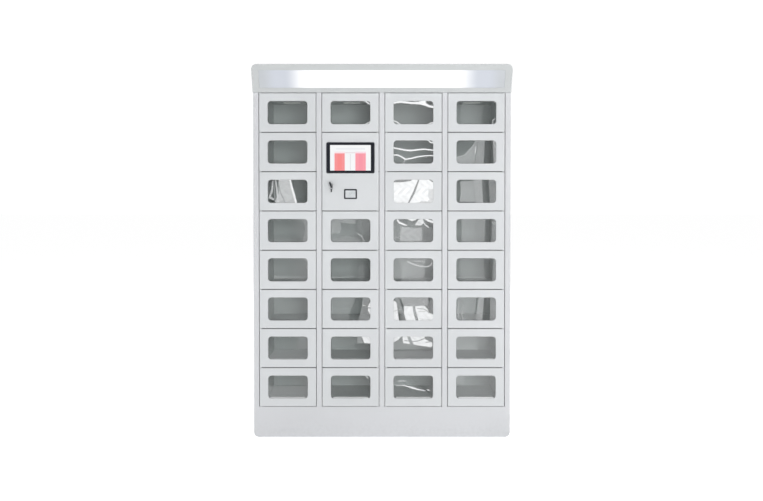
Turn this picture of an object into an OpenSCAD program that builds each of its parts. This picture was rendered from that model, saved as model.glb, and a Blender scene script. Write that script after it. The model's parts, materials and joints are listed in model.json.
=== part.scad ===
// Phone charging kiosk: a free-standing sheet steel locker bank with windowed doors,
// a control door with a touchscreen and a lit header. Front towards -Y, base at Z 0.

/* [Cabinet] */
// Width over the side panels
cabinet_w = 1308; // [1298:2:1330]
// How far the front face stands in front of the origin
front_reach = 165; // [160:1:175]
// How far the back face stands behind the origin
rear_reach = 233; // [226:1:245]
// Height of the sheet metal above the floor
foot_h = 8; // [7:1:12]
// Height of the plinth under the doors
plinth_h = 156; // [140:2:180]
// Height of the header above the doors
header_h = 136; // [130:2:150]
// How far the header's lower edge stands in front of the doors
header_out = 16; // [8:2:24]
// How much further forward the header's top is
header_lean = 54; // [30:2:70]
// Radius of the header's two top corners
header_r = 27; // [15:1:40]
// Radius of the plinth's two bottom corners
plinth_r = 25; // [15:1:30]
// Depth of the folded edge round the front
front_return = 40; // [38:1:50]
// Thickness of the front and roof sheet
face_t = 1.5; // [1.2:0.1:2]
// Thickness of the other sheet
sheet_t = 1.2; // [1:0.1:1.5]

/* [Doors] */
// Distance between column centres
col_pitch = 320; // [318:1:322]
// Distance between row lines
row_pitch = 200; // [196:2:210]
// Width of a door
door_w = 288; // [286:1:290]
// Gap between stacked doors
row_gap = 4; // [3.8:0.1:5]
// Depth of a door's folded edge
leaf_d = 20; // [19.5:0.1:20]
// Width of the lip at the back of a door
lip_w = 16; // [14:1:20]
// Hinge pin centre from the door's edge
pivot_in = 7; // [6.8:0.1:7]
// Hinge pin centre behind the door's face
pivot_back = 6; // [5.9:0.1:6]
// Radius of a hinge pin
pin_r = 2.5; // [2.4:0.05:2.6]
// Radial clearance of a hinge pin
pin_play = 0.05; // [0.03:0.01:0.08]

/* [Windows] */
// Width of a door window
window_w = 202; // [180:1:204]
// Height of a door window
window_h = 118; // [100:1:124]
// Corner radius of a door window
window_r = 17; // [8:1:24]
// Depth of a window's turned-in edge, with the pane behind it
sill_d = 13; // [11:0.5:14]
// Thickness of a window pane
pane_t = 3; // [2:0.5:4]

/* [Compartments] */
// Inner width of a compartment
comp_w = 240; // [236:1:242]
// Back wall of the compartments, behind the origin
comp_back = 200; // [185:1:201]
// Height of a compartment floor above its row line
floor_up = 16; // [12:1:20]
// Depth of the box shelf below the row line
shelf_down = 24; // [20:1:28]

/* [Control door] */
// Width of the touchscreen's front frame
screen_w = 244; // [230:1:250]
// Height of the touchscreen's front frame
screen_h = 156; // [150:1:165]
// Height of the touchscreen's centre above the control door's row line
screen_up = 270; // [262:1:275]
// Height of the scanner's centre above the control door's row line
scanner_up = 86; // [78:1:90]
// Height of the key lock above the control door's row line
lock_up = 129; // [118:1:132]
// Distance of the key lock from the column's centre
lock_off = 98; // [94:1:100]
// Lean of the key's head from upright
key_lean = 20; // [0:1:30]

/* [Header light] */
// Width of the lit opening
light_w = 1236; // [1150:2:1244]
// Height of the lit opening
light_h = 84; // [78:1:88]
// Height of the opening's centre above the header's lower edge
light_up = 64; // [60:1:68]
// Length of the light tube
tube_l = 900; // [600:10:1000]

/* [Hidden] */
$fn = 48;
columns = 4;
rows = 8;
eps = 0.2;
front_y = -front_reach;
rear_y = rear_reach;
return_y = front_y + front_return;
base_z = foot_h;
doors_z = foot_h + plinth_h;
header_z = doors_z + rows * row_pitch;
top_z = header_z + header_h;
half_w = cabinet_w / 2;
open_w = (columns - 1) * col_pitch + door_w + 6;
mullion_w = col_pitch - door_w - 6;
hinge_x = door_w / 2 - pivot_in;
wall_x = door_w / 2 + 3;
pivot_y = front_y + pivot_back;
stop_y = front_y + leaf_d + 2;
leaf_back = front_y + leaf_d;
// The control door takes this column and these two rows, counted from the top
control_col = 2;
control_rows = [2, 3];
control_z = doors_z + (rows - control_rows[1]) * row_pitch;
window_up = row_pitch / 2;
strike_x = door_w / 2 - 12;
strike_t = 2.5;
strike_l = 28;
screen_proud = 4;
screen_rim = 3.5;
scanner_body = [54, 39];
barrel_r = 7.9;
steel_white = [0.85, 0.86, 0.87];
frame_grey = [0.82, 0.83, 0.84];
liner_grey = [0.72, 0.74, 0.74];
zinc = [0.66, 0.67, 0.68];
black = [0.09, 0.09, 0.10];
pane_grey = [0.62, 0.66, 0.67];
anchor_x = 560;
anchor_y = [-90, 190];
foot_x = [-610, 0, 610];
foot_y = [-95, 195];
inlet_x = 500;
inlet_z = 90;
screw_x = half_w - 15;
screw_z = [for (i = [0 : 6]) 60 + i * 275];
screw_r = 2;
wall_fix_x = 400;
wall_fix_z = 1650;
vent_x = [-300, 0, 300];
vent_z = [50, 1560];
// The power inlet's body behind the back panel
inlet_w = 47;
inlet_h = 63;
foot_stud_r = 5;
// The outlets' centre behind the origin and above a row line
outlet_y = 80;
outlet_up = 81;
lock_bore_r = 5.05;
// The hole in the key's head, as Y and as height along the leaning head
key_hole = [front_y - 24, -7];
// The ring through that hole, its wire, and how far its centre hangs below the hole
ring_r = 7;
wire_r = 0.7;
ring_drop = 6.2;

function col_x(c) = (c - (columns + 1) / 2) * col_pitch;
function row_z(r) = doors_z + (rows - r) * row_pitch;
// -1 for a door hinged at its left, 1 for one hinged at its right
function hinge_side(c) = c % 2 == 1 ? -1 : 1;
// The wall nearest the cabinet's middle, where a compartment has its outlet
function inner_side(c) = c <= columns / 2 ? 1 : -1;
function in_control(c, r) = c == control_col && (r == control_rows[0] || r == control_rows[1]);
function door_name(c, r) = str("door_c", c, "_r", r);
function header_face_y(z) = front_y - header_out - header_lean * (z - header_z) / header_h;

LOCKERS = [for (c = [1 : columns], r = [1 : rows]) if (!in_control(c, r)) [c, r]];

// ---- Outlines and sheet shapes ----

// A quarter turn's points from an angle on, or its centre alone where there is no radius
function arc(x, z, r, from, steps = 6) = r <= 0 ? [[x, z]] :
    [for (i = [0 : steps])
        let (a = from + 90 * i / steps) [x + r * cos(a), z + r * sin(a)]];

// A rectangle with one radius at its two bottom corners and one at its two top corners
function rounded(x0, z0, x1, z1, r_low, r_high) = concat(
    arc(x1 - r_low, z0 + r_low, r_low, -90),
    arc(x1 - r_high, z1 - r_high, r_high, 0),
    arc(x0 + r_high, z1 - r_high, r_high, 90),
    arc(x0 + r_low, z0 + r_low, r_low, 180));

function frame_outline(cx, cz, w, h, r) =
    rounded(cx - w / 2, cz - h / 2, cx + w / 2, cz + h / 2, r, r);

// An outline in X and Z, between two Y values
module upright(points, y0, y1)
    translate([0, y1, 0]) rotate([90, 0, 0]) linear_extrude(y1 - y0) polygon(points);

// An outline in Y and Z, between two X values
module bar(points, x0, x1)
    translate([x0, 0, 0]) rotate([90, 0, 90]) linear_extrude(x1 - x0) polygon(points);

module box(x0, x1, y0, y1, z0, z1)
    translate([x0, y0, z0]) cube([x1 - x0, y1 - y0, z1 - z0]);

// A round along Y, from y0 to y1
module round_y(x, z, r, y0, y1)
    translate([x, y1, z]) rotate([90, 0, 0]) cylinder(r = r, h = y1 - y0);

// Draws a left-hinged shape at a column and a height, mirrored where the door hinges at its right
module at_door(c, z)
    translate([col_x(c), 0, z]) mirror([hinge_side(c) > 0 ? 1 : 0, 0, 0]) children();

// ---- Cabinet ----

module front_surround() color(frame_grey) {
    difference() {
        upright(rounded(-half_w, base_z, half_w, header_z, plinth_r, 0), front_y, return_y);
        upright(rounded(-half_w + face_t, base_z + face_t, half_w - face_t, header_z + 5,
            plinth_r - face_t, 0), front_y + face_t, return_y + 1);
        box(-open_w / 2, open_w / 2, front_y - 1, return_y + 1, doors_z, header_z + 6);
    }
    difference() {
        box(-open_w / 2 - face_t, open_w / 2 + face_t, front_y, stop_y - 1,
            doors_z - face_t, header_z);
        box(-open_w / 2, open_w / 2, front_y - 1, stop_y, doors_z, header_z + 1);
    }
}

module mullions() color(frame_grey)
    for (i = [-1 : 1])
        difference() {
            box(i * col_pitch - mullion_w / 2, i * col_pitch + mullion_w / 2,
                front_y, stop_y - 1, doors_z, header_z);
            box(i * col_pitch - mullion_w / 2 + face_t, i * col_pitch + mullion_w / 2 - face_t,
                front_y + face_t, stop_y, doors_z - 1, header_z + 1);
        }

// side is -1 for the left panel and 1 for the right one
module side_panel(side) color(frame_grey) mirror([side < 0 ? 1 : 0, 0, 0]) {
    flange_w = 30;
    difference() {
        translate([0, 0, base_z + eps]) linear_extrude(header_z - base_z - 2 * eps) polygon([
            [half_w, return_y + eps], [half_w, rear_y - sheet_t - eps],
            [half_w - flange_w, rear_y - sheet_t - eps],
            [half_w - flange_w, rear_y - 2 * sheet_t - eps],
            [half_w - sheet_t, rear_y - 2 * sheet_t - eps], [half_w - sheet_t, return_y + eps]]);
        for (z = screw_z) round_y(screw_x, z, screw_r + 0.1, rear_y - 10, rear_y);
    }
}

module side_panel_left() side_panel(-1);
module side_panel_right() side_panel(1);

module top_panel() color(frame_grey)
    difference() {
        upright(rounded(-half_w, header_z, half_w, top_z, 0, header_r), return_y + eps, rear_y);
        upright(rounded(-half_w + face_t, header_z - 5, half_w - face_t, top_z - face_t,
            0, header_r - face_t), return_y - 1, rear_y - face_t);
    }

module base_tray() color(frame_grey) {
    tray_t = 2;
    lip_h = 25;
    anchor_r = 6;
    y0 = return_y + tray_t;
    y1 = rear_y - 2 * sheet_t - 2 * eps;
    difference() {
        bar([[y0, base_z], [y1, base_z], [y1, base_z + lip_h], [y1 - tray_t, base_z + lip_h],
            [y1 - tray_t, base_z + tray_t], [y0 + tray_t, base_z + tray_t],
            [y0 + tray_t, base_z + lip_h], [y0, base_z + lip_h]],
            -half_w + sheet_t + eps, half_w - sheet_t - eps);
        for (x = [-anchor_x, anchor_x], y = anchor_y)
            translate([x, y, base_z - 1]) cylinder(r = anchor_r, h = tray_t + 2);
        for (x = foot_x, y = foot_y)
            translate([x, y, base_z - 1]) cylinder(r = foot_stud_r + eps, h = tray_t + 2);
    }
}

module back_panel() color(frame_grey) {
    slot_w = 90;
    slot_h = 5;
    slot_pitch = 12;
    slots = 5;
    wall_fix_r = 5;
    y0 = rear_y - 3;
    y1 = rear_y + 1;
    difference() {
        box(-half_w, half_w, rear_y - sheet_t, rear_y, base_z + eps, header_z - eps);
        for (x = vent_x, z = vent_z, i = [0 : slots - 1])
            box(x - slot_w / 2, x + slot_w / 2, y0, y1, z + i * slot_pitch, z + i * slot_pitch + slot_h);
        for (side = [-1, 1], z = screw_z) round_y(side * screw_x, z, screw_r + 0.3, y0, y1);
        for (x = [-wall_fix_x, wall_fix_x]) round_y(x, wall_fix_z, wall_fix_r, y0, y1);
        box(inlet_x - inlet_w / 2 - 0.5, inlet_x + inlet_w / 2 + 0.5, y0, y1,
            inlet_z - inlet_h / 2 - 0.5, inlet_z + inlet_h / 2 + 0.5);
    }
}

// One column: two side walls with outward front flanges, and a back sheet
module liner(c) {
    z0 = doors_z - shelf_down;
    z1 = header_z + floor_up;
    strike_slot_w = 12;
    strike_slot_h = 32;
    half_c = comp_w / 2;
    flange_x = wall_x - 0.5;
    // How far the cam's slot goes below and above the lock
    cam_slot = [52, 10];
    at_door(c, 0) difference() {
        translate([0, 0, z0]) linear_extrude(z1 - z0) polygon([
            [-flange_x, stop_y], [-half_c, stop_y], [-half_c, comp_back], [half_c, comp_back],
            [half_c, stop_y], [flange_x, stop_y], [flange_x, stop_y + sheet_t],
            [half_c + sheet_t, stop_y + sheet_t], [half_c + sheet_t, comp_back + sheet_t],
            [-half_c - sheet_t, comp_back + sheet_t], [-half_c - sheet_t, stop_y + sheet_t],
            [-flange_x, stop_y + sheet_t]]);
        for (r = [1 : rows])
            if (!in_control(c, r)) {
                box(strike_x - 5, strike_x - 5 + strike_slot_w, stop_y - 1, stop_y + 3,
                    row_z(r) + row_pitch / 2 - strike_slot_h / 2,
                    row_z(r) + row_pitch / 2 + strike_slot_h / 2);
                outlet_hole(c, r);
            }
        // The cam's way through the machine bay's wall
        if (c == control_col)
            box(half_c - 1, half_c + 3, stop_y + sheet_t, stop_y + 8,
                control_z + lock_up - cam_slot[0], control_z + lock_up + cam_slot[1]);
    }
}

module compartment_liners() color(liner_grey)
    for (c = [1 : columns]) liner(c);

module shelf_boxes() color(liner_grey)
    for (c = [1 : columns], r = [0 : rows])
        if (!(c == control_col && r == control_rows[0])) {
            z = row_z(r);
            bar([[stop_y, z - shelf_down], [comp_back - eps, z - shelf_down],
                [comp_back - eps, z - shelf_down + sheet_t],
                [stop_y + sheet_t, z - shelf_down + sheet_t],
                [stop_y + sheet_t, z + floor_up - sheet_t],
                [comp_back - eps, z + floor_up - sheet_t],
                [comp_back - eps, z + floor_up], [stop_y, z + floor_up]],
                col_x(c) - comp_w / 2 + eps, col_x(c) + comp_w / 2 - eps);
        }

// ---- Hinges and doors ----

// A tab welded to the upright, with a pin that stands up, down or both ways
module hinge_bracket(z, up, down) {
    tab_t = up && down ? 3 : 1.4;
    z0 = up && down ? z - tab_t / 2 : up ? z + 0.1 : z - tab_t - 0.1;
    tab_r = 4.5;
    pin_reach = 8;
    translate([0, 0, z0]) linear_extrude(tab_t)
        polygon(concat([[-wall_x, pivot_y - tab_r + 0.5]],
            [for (i = [0 : 12]) let (a = -90 + 15 * i)
                [-hinge_x + tab_r * cos(a), pivot_y + tab_r * sin(a)]],
            [[-wall_x, pivot_y + tab_r + 3]]));
    pin_low = down ? z - pin_reach : z0;
    pin_high = up ? z + pin_reach : z0 + tab_t;
    translate([-hinge_x, pivot_y, pin_low]) cylinder(r = pin_r, h = pin_high - pin_low);
}

module hinge_brackets() color(zinc)
    for (c = [1 : columns], r = [0 : rows])
        if (!(c == control_col && r == control_rows[0]))
            at_door(c, 0) hinge_bracket(row_z(r), r > 0, r < rows);

// A folded pan, left-hinged, from its row line up, with an edge turned in round its window if it has one
module leaf(h, has_window = false) {
    z0 = row_gap / 2;
    z1 = h - row_gap / 2;
    boss_r = 4.5;
    boss_h = 6;
    x1 = door_w / 2;
    difference() {
        union() {
            difference() {
                box(-x1, x1, front_y, leaf_back, z0, z1);
                box(-x1 + sheet_t, x1 - sheet_t, front_y + sheet_t, leaf_back - sheet_t,
                    z0 + sheet_t, z1 - sheet_t);
                box(-x1 + lip_w, x1 - lip_w, leaf_back - 3, leaf_back + 1, z0 + lip_w, z1 - lip_w);
            }
            for (z = [z0 + 0.5, z1 - boss_h - 0.5])
                translate([-hinge_x, pivot_y, z]) cylinder(r = boss_r, h = boss_h);
            if (has_window)
                upright(frame_outline(0, window_up, window_w + 2 * sheet_t, window_h + 2 * sheet_t,
                    window_r + sheet_t), front_y + sheet_t / 2, front_y + sill_d);
        }
        for (z = [z0 - 1, z1 - boss_h - 1])
            translate([-hinge_x, pivot_y, z]) cylinder(r = pin_r + pin_play, h = boss_h + 2);
        children();
    }
}

module strike() {
    strike_h = 20;
    eye_r = 5;
    mid = row_pitch / 2;
    difference() {
        box(strike_x - strike_t / 2, strike_x + strike_t / 2, leaf_back - 1,
            leaf_back + strike_l, mid - strike_h / 2, mid + strike_h / 2);
        translate([strike_x - 3, leaf_back + strike_l - 9, mid]) rotate([0, 90, 0])
            cylinder(r = eye_r, h = 6);
    }
}

module locker_door(c, r) at_door(c, row_z(r)) {
    pane_over = 7;
    frame_over = 12;
    frame_t = 1.5;
    pane_y = front_y + sill_d + eps;
    frame_y = pane_y + pane_t + eps;
    color(steel_white) leaf(row_pitch, true)
        upright(frame_outline(0, window_up, window_w, window_h, window_r),
            front_y - 1, front_y + sill_d + 1);
    color(zinc) strike();
    color(pane_grey)
        upright(frame_outline(0, window_up, window_w + 2 * pane_over, window_h + 2 * pane_over,
            window_r + 3), pane_y, pane_y + pane_t);
    // The frame that presses the pane against the turned-in edge, folded forward to the face sheet
    color(zinc) difference() {
        upright(frame_outline(0, window_up, window_w + 2 * frame_over, window_h + 2 * frame_over,
            window_r + 5), front_y + sheet_t + eps, frame_y + frame_t);
        upright(frame_outline(0, window_up, window_w + 2 * frame_over - 2 * frame_t,
            window_h + 2 * frame_over - 2 * frame_t, window_r + 5 - frame_t), front_y, frame_y);
        upright(frame_outline(0, window_up, window_w + 2, window_h + 2, window_r),
            frame_y - 1, frame_y + frame_t + 1);
    }
}

module control_door() color(steel_white) at_door(control_col, control_z) {
    cover = 8;
    play = 2;
    y0 = front_y - 1;
    y1 = front_y + 3;
    leaf(2 * row_pitch) {
        box(-screen_w / 2 + cover, screen_w / 2 - cover, y0, y1,
            screen_up - screen_h / 2 + cover, screen_up + screen_h / 2 - cover);
        box(-scanner_body[0] / 2 - play, scanner_body[0] / 2 + play, y0, y1,
            scanner_up - scanner_body[1] / 2 - play, scanner_up + scanner_body[1] / 2 + play);
        round_y(lock_off, lock_up, barrel_r + 0.3, y0, y1);
    }
}

module touchscreen_housing() color(black) at_door(control_col, control_z) {
    body_in = 10;
    body_l = 38;
    difference() {
        union() {
            upright(frame_outline(0, screen_up, screen_w, screen_h, 6),
                front_y - screen_proud, front_y - 0.1);
            box(-screen_w / 2 + body_in, screen_w / 2 - body_in, front_y - 0.1, front_y + body_l,
                screen_up - screen_h / 2 + body_in, screen_up + screen_h / 2 - body_in);
        }
        upright(frame_outline(0, screen_up, screen_w - 2 * screen_rim, screen_h - 2 * screen_rim, 4),
            front_y - screen_proud - 1, front_y - 2);
    }
}

module touchscreen_glass() color([0.05, 0.05, 0.06]) at_door(control_col, control_z)
    upright(frame_outline(0, screen_up, screen_w - 2 * screen_rim - 1, screen_h - 2 * screen_rim - 1,
        3.5), front_y - screen_proud, front_y - 2.1);

module barcode_scanner() at_door(control_col, control_z) {
    face = [66, 51];
    proud = 3;
    body_l = 34;
    half = scanner_body / 2;
    color(black) difference() {
        union() {
            upright(frame_outline(0, scanner_up, face[0], face[1], 5), front_y - proud, front_y - 0.1);
            box(-half[0], half[0], front_y - 0.1, front_y + body_l,
                scanner_up - half[1], scanner_up + half[1]);
        }
        scan_window(half - [0.5, 0.5], front_y - proud - 1, front_y - 0.6);
    }
    color(pane_grey) scan_window(half - [0.8, 0.8], front_y - 2.2, front_y - 0.8);
}

// A block over the scanner's window, with its half width and half height given
module scan_window(half, y0, y1)
    box(-half[0], half[0], y0, y1, scanner_up - half[1], scanner_up + half[1]);

// ---- Key lock ----

module at_lock() translate([col_x(control_col) - lock_off, 0, control_z + lock_up]) children();

module cam_lock_body() color(zinc) at_lock() {
    rosette_r = 11;
    nut_r = 11.5;
    nut_t = 4.5;
    difference() {
        union() {
            round_y(0, 0, rosette_r, front_y - 2, front_y - 0.1);
            round_y(0, 0, barrel_r, front_y - 0.2, stop_y + 0.8);
            translate([0, front_y + 6, 0]) rotate([90, 0, 0]) cylinder(r = nut_r, h = nut_t, $fn = 6);
        }
        round_y(0, 0, lock_bore_r, front_y - 3, stop_y + 2);
    }
}

module cam_lock_key() at_lock() {
    cam_y = stop_y + 1.7;
    cam_t = 2.5;
    cam_r = 7;
    cam_l = 44;
    head_t = 6;
    hole_r = 2.8;
    color(zinc) {
        round_y(0, 0, lock_bore_r - 0.05, front_y - 2.3, cam_y + 3);
        difference() {
            box(-cam_r, cam_r, cam_y, cam_y + cam_t, -cam_l, cam_r + 1);
            for (side = [-1, 1])
                translate([side * cam_r, cam_y - 1, -cam_l]) rotate([0, 45, 0])
                    cube([5, 5, 5], center = true);
        }
        round_y(0, 0, cam_r, cam_y + cam_t - 0.1, cam_y + 2 * cam_t);
    }
    color(black) rotate([0, -key_lean, 0]) difference() {
        union() {
            box(-1.2, 1.2, front_y - 7, front_y - 2.2, -4, 4);
            bar(rounded(front_y - 31, -12, front_y - 6, 20, 5, 9), -head_t / 2, head_t / 2);
        }
        translate([-4, key_hole[0], key_hole[1]]) rotate([0, 90, 0]) cylinder(r = hole_r, h = 8);
    }
}

// A second key that hangs from the first one's head on a wire ring
module spare_key() at_lock() {
    spare_l = 17;
    spare_t = 5;
    hole_r = 2.2;
    z1 = -ring_r + 4;
    translate([-key_hole[1] * sin(key_lean), key_hole[0], key_hole[1] * cos(key_lean) - ring_drop]) {
        color(zinc) rotate([90, 0, 0]) rotate_extrude() translate([ring_r, 0]) circle(r = wire_r);
        color(black) difference() {
            bar(rounded(-8, z1 - spare_l, 8, z1, 5, 5), -spare_t / 2, spare_t / 2);
            translate([-4, 0, -ring_r]) rotate([0, 90, 0]) cylinder(r = hole_r, h = 8);
        }
    }
}

// ---- Inside the compartments and channels ----

module outlet_hole(c, r) {
    // at_door mirrors right-hinged columns, so the side is given in the door's own sense
    side = inner_side(c) * -hinge_side(c);
    x = side * comp_w / 2;
    box(x - 4, x + 4, outlet_y - 20, outlet_y + 20,
        row_z(r) + outlet_up - 11, row_z(r) + outlet_up + 11);
}

module charge_outlets() color([0.9, 0.9, 0.9])
    for (d = LOCKERS) {
        side = inner_side(d[0]);
        translate([col_x(d[0]) + side * comp_w / 2, outlet_y, row_z(d[1]) + outlet_up])
            mirror([side < 0 ? 1 : 0, 0, 0]) difference() {
                union() {
                    box(-2, -0.1, -26, 26, -16, 16);
                    box(-1, 28, -19.5, 19.5, -10.5, 10.5);
                }
                for (y = [-9, 9]) box(-3, 12, y - 6.4, y + 6.4, -2.6, 2.6);
            }
    }

module led_bars() color([0.95, 0.95, 0.92]) {
    led_l = 90;
    led_w = 12;
    led_h = 8.5;
    led_y = front_y + 210;
    for (d = LOCKERS) {
        x = col_x(d[0]);
        z = row_z(d[1]) + row_pitch - shelf_down;
        bar(rounded(led_y - led_w / 2, z - led_h - eps, led_y + led_w / 2, z - eps, 3, 0),
            x - led_l / 2, x + led_l / 2);
    }
}

module door_locks() color(zinc)
    for (d = LOCKERS)
        at_door(d[0], row_z(d[1]) + row_pitch / 2)
            difference() {
                box(comp_w / 2 + 2.2, comp_w / 2 + 26, stop_y + 1.4, stop_y + 62, -23, 23);
                box(strike_x - 3.5, strike_x + 6.5, stop_y, stop_y + 32, -14, 14);
            }

// ---- Header ----

module header_fascia() color(frame_grey) {
    t = face_t;
    end_web = 17;
    slant_t = t * sqrt(1 + pow(header_lean / header_h, 2));
    lean_y = header_face_y(top_z);
    difference() {
        intersection() {
            upright(rounded(-half_w, header_z, half_w, top_z, 0, header_r), lean_y - 1, return_y);
            bar([[header_face_y(header_z), header_z], [return_y + 1, header_z],
                [return_y + 1, top_z], [lean_y, top_z]], -half_w - 1, half_w + 1);
        }
        intersection() {
            upright(rounded(-half_w + t, header_z + t, half_w - t, top_z - t, 0, header_r - t),
                lean_y - 1, return_y + 1);
            bar([[header_face_y(header_z - 2) + slant_t, header_z - 2], [return_y + 2, header_z - 2],
                [return_y + 2, top_z + 2], [header_face_y(top_z + 2) + slant_t, top_z + 2]],
                -half_w - 1, half_w + 1);
        }
        upright(frame_outline(0, header_z + light_up, light_w, light_h, 3),
            lean_y - 1, front_y - header_out);
        box(-half_w + end_web, half_w - end_web, stop_y - 1, return_y + 1,
            header_z - 1, header_z + t + 1);
    }
}

module header_light_panel() color([0.97, 0.98, 1]) {
    gap = 2.2;
    panel_t = 3.3;
    over = 9;
    z0 = header_z + light_up - light_h / 2 - over;
    z1 = header_z + light_up + light_h / 2 + over;
    bar([[header_face_y(z0) + gap, z0], [header_face_y(z0) + gap + panel_t, z0],
        [header_face_y(z1) + gap + panel_t, z1], [header_face_y(z1) + gap, z1]],
        -light_w / 2 - 10, light_w / 2 + 10);
}

module header_led_tube() {
    tube_r = 13;
    hanger_x = 300;
    z = header_z + light_up;
    y = front_y + 20;
    color([0.98, 0.98, 1]) translate([-tube_l / 2, y, z]) rotate([0, 90, 0])
        cylinder(r = tube_r, h = tube_l);
    color(zinc) {
        box(-tube_l / 2 - 20, tube_l / 2 + 20, y + 22, y + 40, z - 18, z + 18);
        for (side = [-1, 1]) {
            box(side * (tube_l / 2 + 11) - 8, side * (tube_l / 2 + 11) + 8, y - 12, y + 23,
                z - 10, z + 10);
            box(side * hanger_x - 15, side * hanger_x + 15, y + 30, y + 32, z + 17, top_z - face_t - eps);
        }
    }
}

// ---- Base, power and control ----

module levelling_feet() color([0.2, 0.2, 0.21]) {
    pad_r = 20;
    nut_r = 9.5;
    for (x = foot_x, y = foot_y)
        translate([x, y, 0]) {
            cylinder(r = pad_r, h = 5);
            translate([0, 0, 4]) cylinder(r = nut_r, h = base_z - 4, $fn = 6);
            cylinder(r = foot_stud_r, h = base_z + 26);
            translate([0, 0, base_z + 2.1]) cylinder(r = nut_r, h = 6, $fn = 6);
        }
}

module controller_box() color([0.3, 0.31, 0.33]) {
    x = col_x(control_col);
    difference() {
        union() {
            box(x - 90, x + 90, 132, comp_back - eps, control_z + 90, control_z + 290);
            box(x - 104, x + 104, comp_back - 2 - eps, comp_back - eps, control_z + 110, control_z + 270);
        }
        for (i = [0 : 5])
            box(x - 60, x + 60, 131, 134, control_z + 230 + 8 * i, control_z + 233 + 8 * i);
        for (i = [0 : 3])
            box(x - 70 + 36 * i, x - 44 + 36 * i, 131, 142, control_z + 104, control_z + 116);
    }
}

module lock_driver_boards() {
    board_y = comp_back + sheet_t + 9;
    for (c = [1 : columns]) translate([col_x(c), 0, 900]) {
        color([0.1, 0.35, 0.2]) {
            box(-80, 80, board_y, board_y + 1.6, -55, 55);
            for (x = [-74, 74], z = [-49, 49]) round_y(x, z, 3, comp_back + sheet_t + eps, board_y + 0.1);
        }
        color(black) for (i = [0 : 6]) box(-70 + 20 * i, -54 + 20 * i, board_y + 1.5, board_y + 16, 4, 24);
        color([0.1, 0.5, 0.3]) box(-70, 70, board_y + 1.5, board_y + 12, -46, -34);
    }
}

module power_supplies() color([0.7, 0.71, 0.72]) {
    case = [214, 115, 49.8];
    z0 = base_z + 2.2;
    for (x = [-380, 0, 330])
        difference() {
            union() {
                translate([x - case[0] / 2, 30, z0]) cube(case);
                box(x + case[0] / 2 - 1, x + case[0] / 2 + 15, 34, 141, z0, z0 + 21.8);
            }
            for (i = [0 : 7])
                box(x - 84 + 20 * i, x - 74 + 20 * i, 50, 125, z0 + case[2] - 3, z0 + case[2] + 1);
        }
}

// An appliance inlet with its switch above, in one moulding behind the back panel
module power_inlet() color(black)
    difference() {
        union() {
            upright(frame_outline(inlet_x, inlet_z, 56, 72, 4), rear_y + 0.1, rear_y + 2);
            box(inlet_x - inlet_w / 2, inlet_x + inlet_w / 2, rear_y - 34, rear_y + 0.2,
                inlet_z - inlet_h / 2, inlet_z + inlet_h / 2);
        }
        difference() {
            box(inlet_x - 12.5, inlet_x + 12.5, rear_y - 16, rear_y + 3, inlet_z - 25, inlet_z - 8.5);
            // Three contact pins, the middle one higher
            for (x = [-7, 0, 7]) {
                pin_z = inlet_z - (x == 0 ? 16 : 20);
                box(inlet_x + x - 1, inlet_x + x + 1, rear_y - 17, rear_y - 2, pin_z, pin_z + 5);
            }
        }
        box(inlet_x - 10.5, inlet_x + 10.5, rear_y - 14, rear_y + 3, inlet_z + 4, inlet_z + 28);
    }

module power_rocker() color([0.12, 0.12, 0.13])
    translate([inlet_x, rear_y - 7, inlet_z + 16]) rotate([-7, 0, 0])
        bar([[-5, -6], [-5, 6], [0, 10], [7, 10], [5, 0], [7, -10], [0, -10]], -10, 10);

module panel_screws() color(zinc)
    for (side = [-1, 1], z = screw_z) {
        round_y(side * screw_x, z, 2 * screw_r, rear_y, rear_y + 2);
        round_y(side * screw_x, z, screw_r, rear_y - 9, rear_y + 0.1);
    }

for (d = LOCKERS)
    locker_door(d[0], d[1]);
front_surround();
mullions();
side_panel_left();
side_panel_right();
top_panel();
base_tray();
back_panel();
compartment_liners();
shelf_boxes();
hinge_brackets();
door_locks();
charge_outlets();
led_bars();
header_fascia();
header_light_panel();
header_led_tube();
levelling_feet();
controller_box();
lock_driver_boards();
power_supplies();
power_inlet();
power_rocker();
panel_screws();
control_door();
touchscreen_housing();
touchscreen_glass();
barcode_scanner();
cam_lock_body();
cam_lock_key();
spare_key();
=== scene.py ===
import json
import math

import bmesh
import bpy
import numpy as np
from mathutils import Matrix, Vector
from mathutils.geometry import tessellate_polygon

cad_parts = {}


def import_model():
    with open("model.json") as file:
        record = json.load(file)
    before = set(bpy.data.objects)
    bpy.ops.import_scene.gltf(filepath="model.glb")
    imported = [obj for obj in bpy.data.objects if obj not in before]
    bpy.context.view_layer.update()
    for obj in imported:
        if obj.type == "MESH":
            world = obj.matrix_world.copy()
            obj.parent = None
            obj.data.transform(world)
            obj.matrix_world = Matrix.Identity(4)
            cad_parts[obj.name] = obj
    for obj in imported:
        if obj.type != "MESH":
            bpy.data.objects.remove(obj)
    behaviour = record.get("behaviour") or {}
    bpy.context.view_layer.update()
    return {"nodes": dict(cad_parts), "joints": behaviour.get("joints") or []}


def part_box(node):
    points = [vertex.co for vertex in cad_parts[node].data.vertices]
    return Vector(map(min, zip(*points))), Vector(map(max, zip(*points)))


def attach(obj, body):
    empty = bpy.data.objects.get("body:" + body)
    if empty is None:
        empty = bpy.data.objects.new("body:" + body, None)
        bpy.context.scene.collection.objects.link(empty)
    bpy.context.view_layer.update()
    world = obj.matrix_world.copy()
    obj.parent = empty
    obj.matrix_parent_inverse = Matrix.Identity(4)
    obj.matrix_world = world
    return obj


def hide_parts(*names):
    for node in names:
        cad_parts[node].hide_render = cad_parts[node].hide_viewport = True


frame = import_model()

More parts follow.
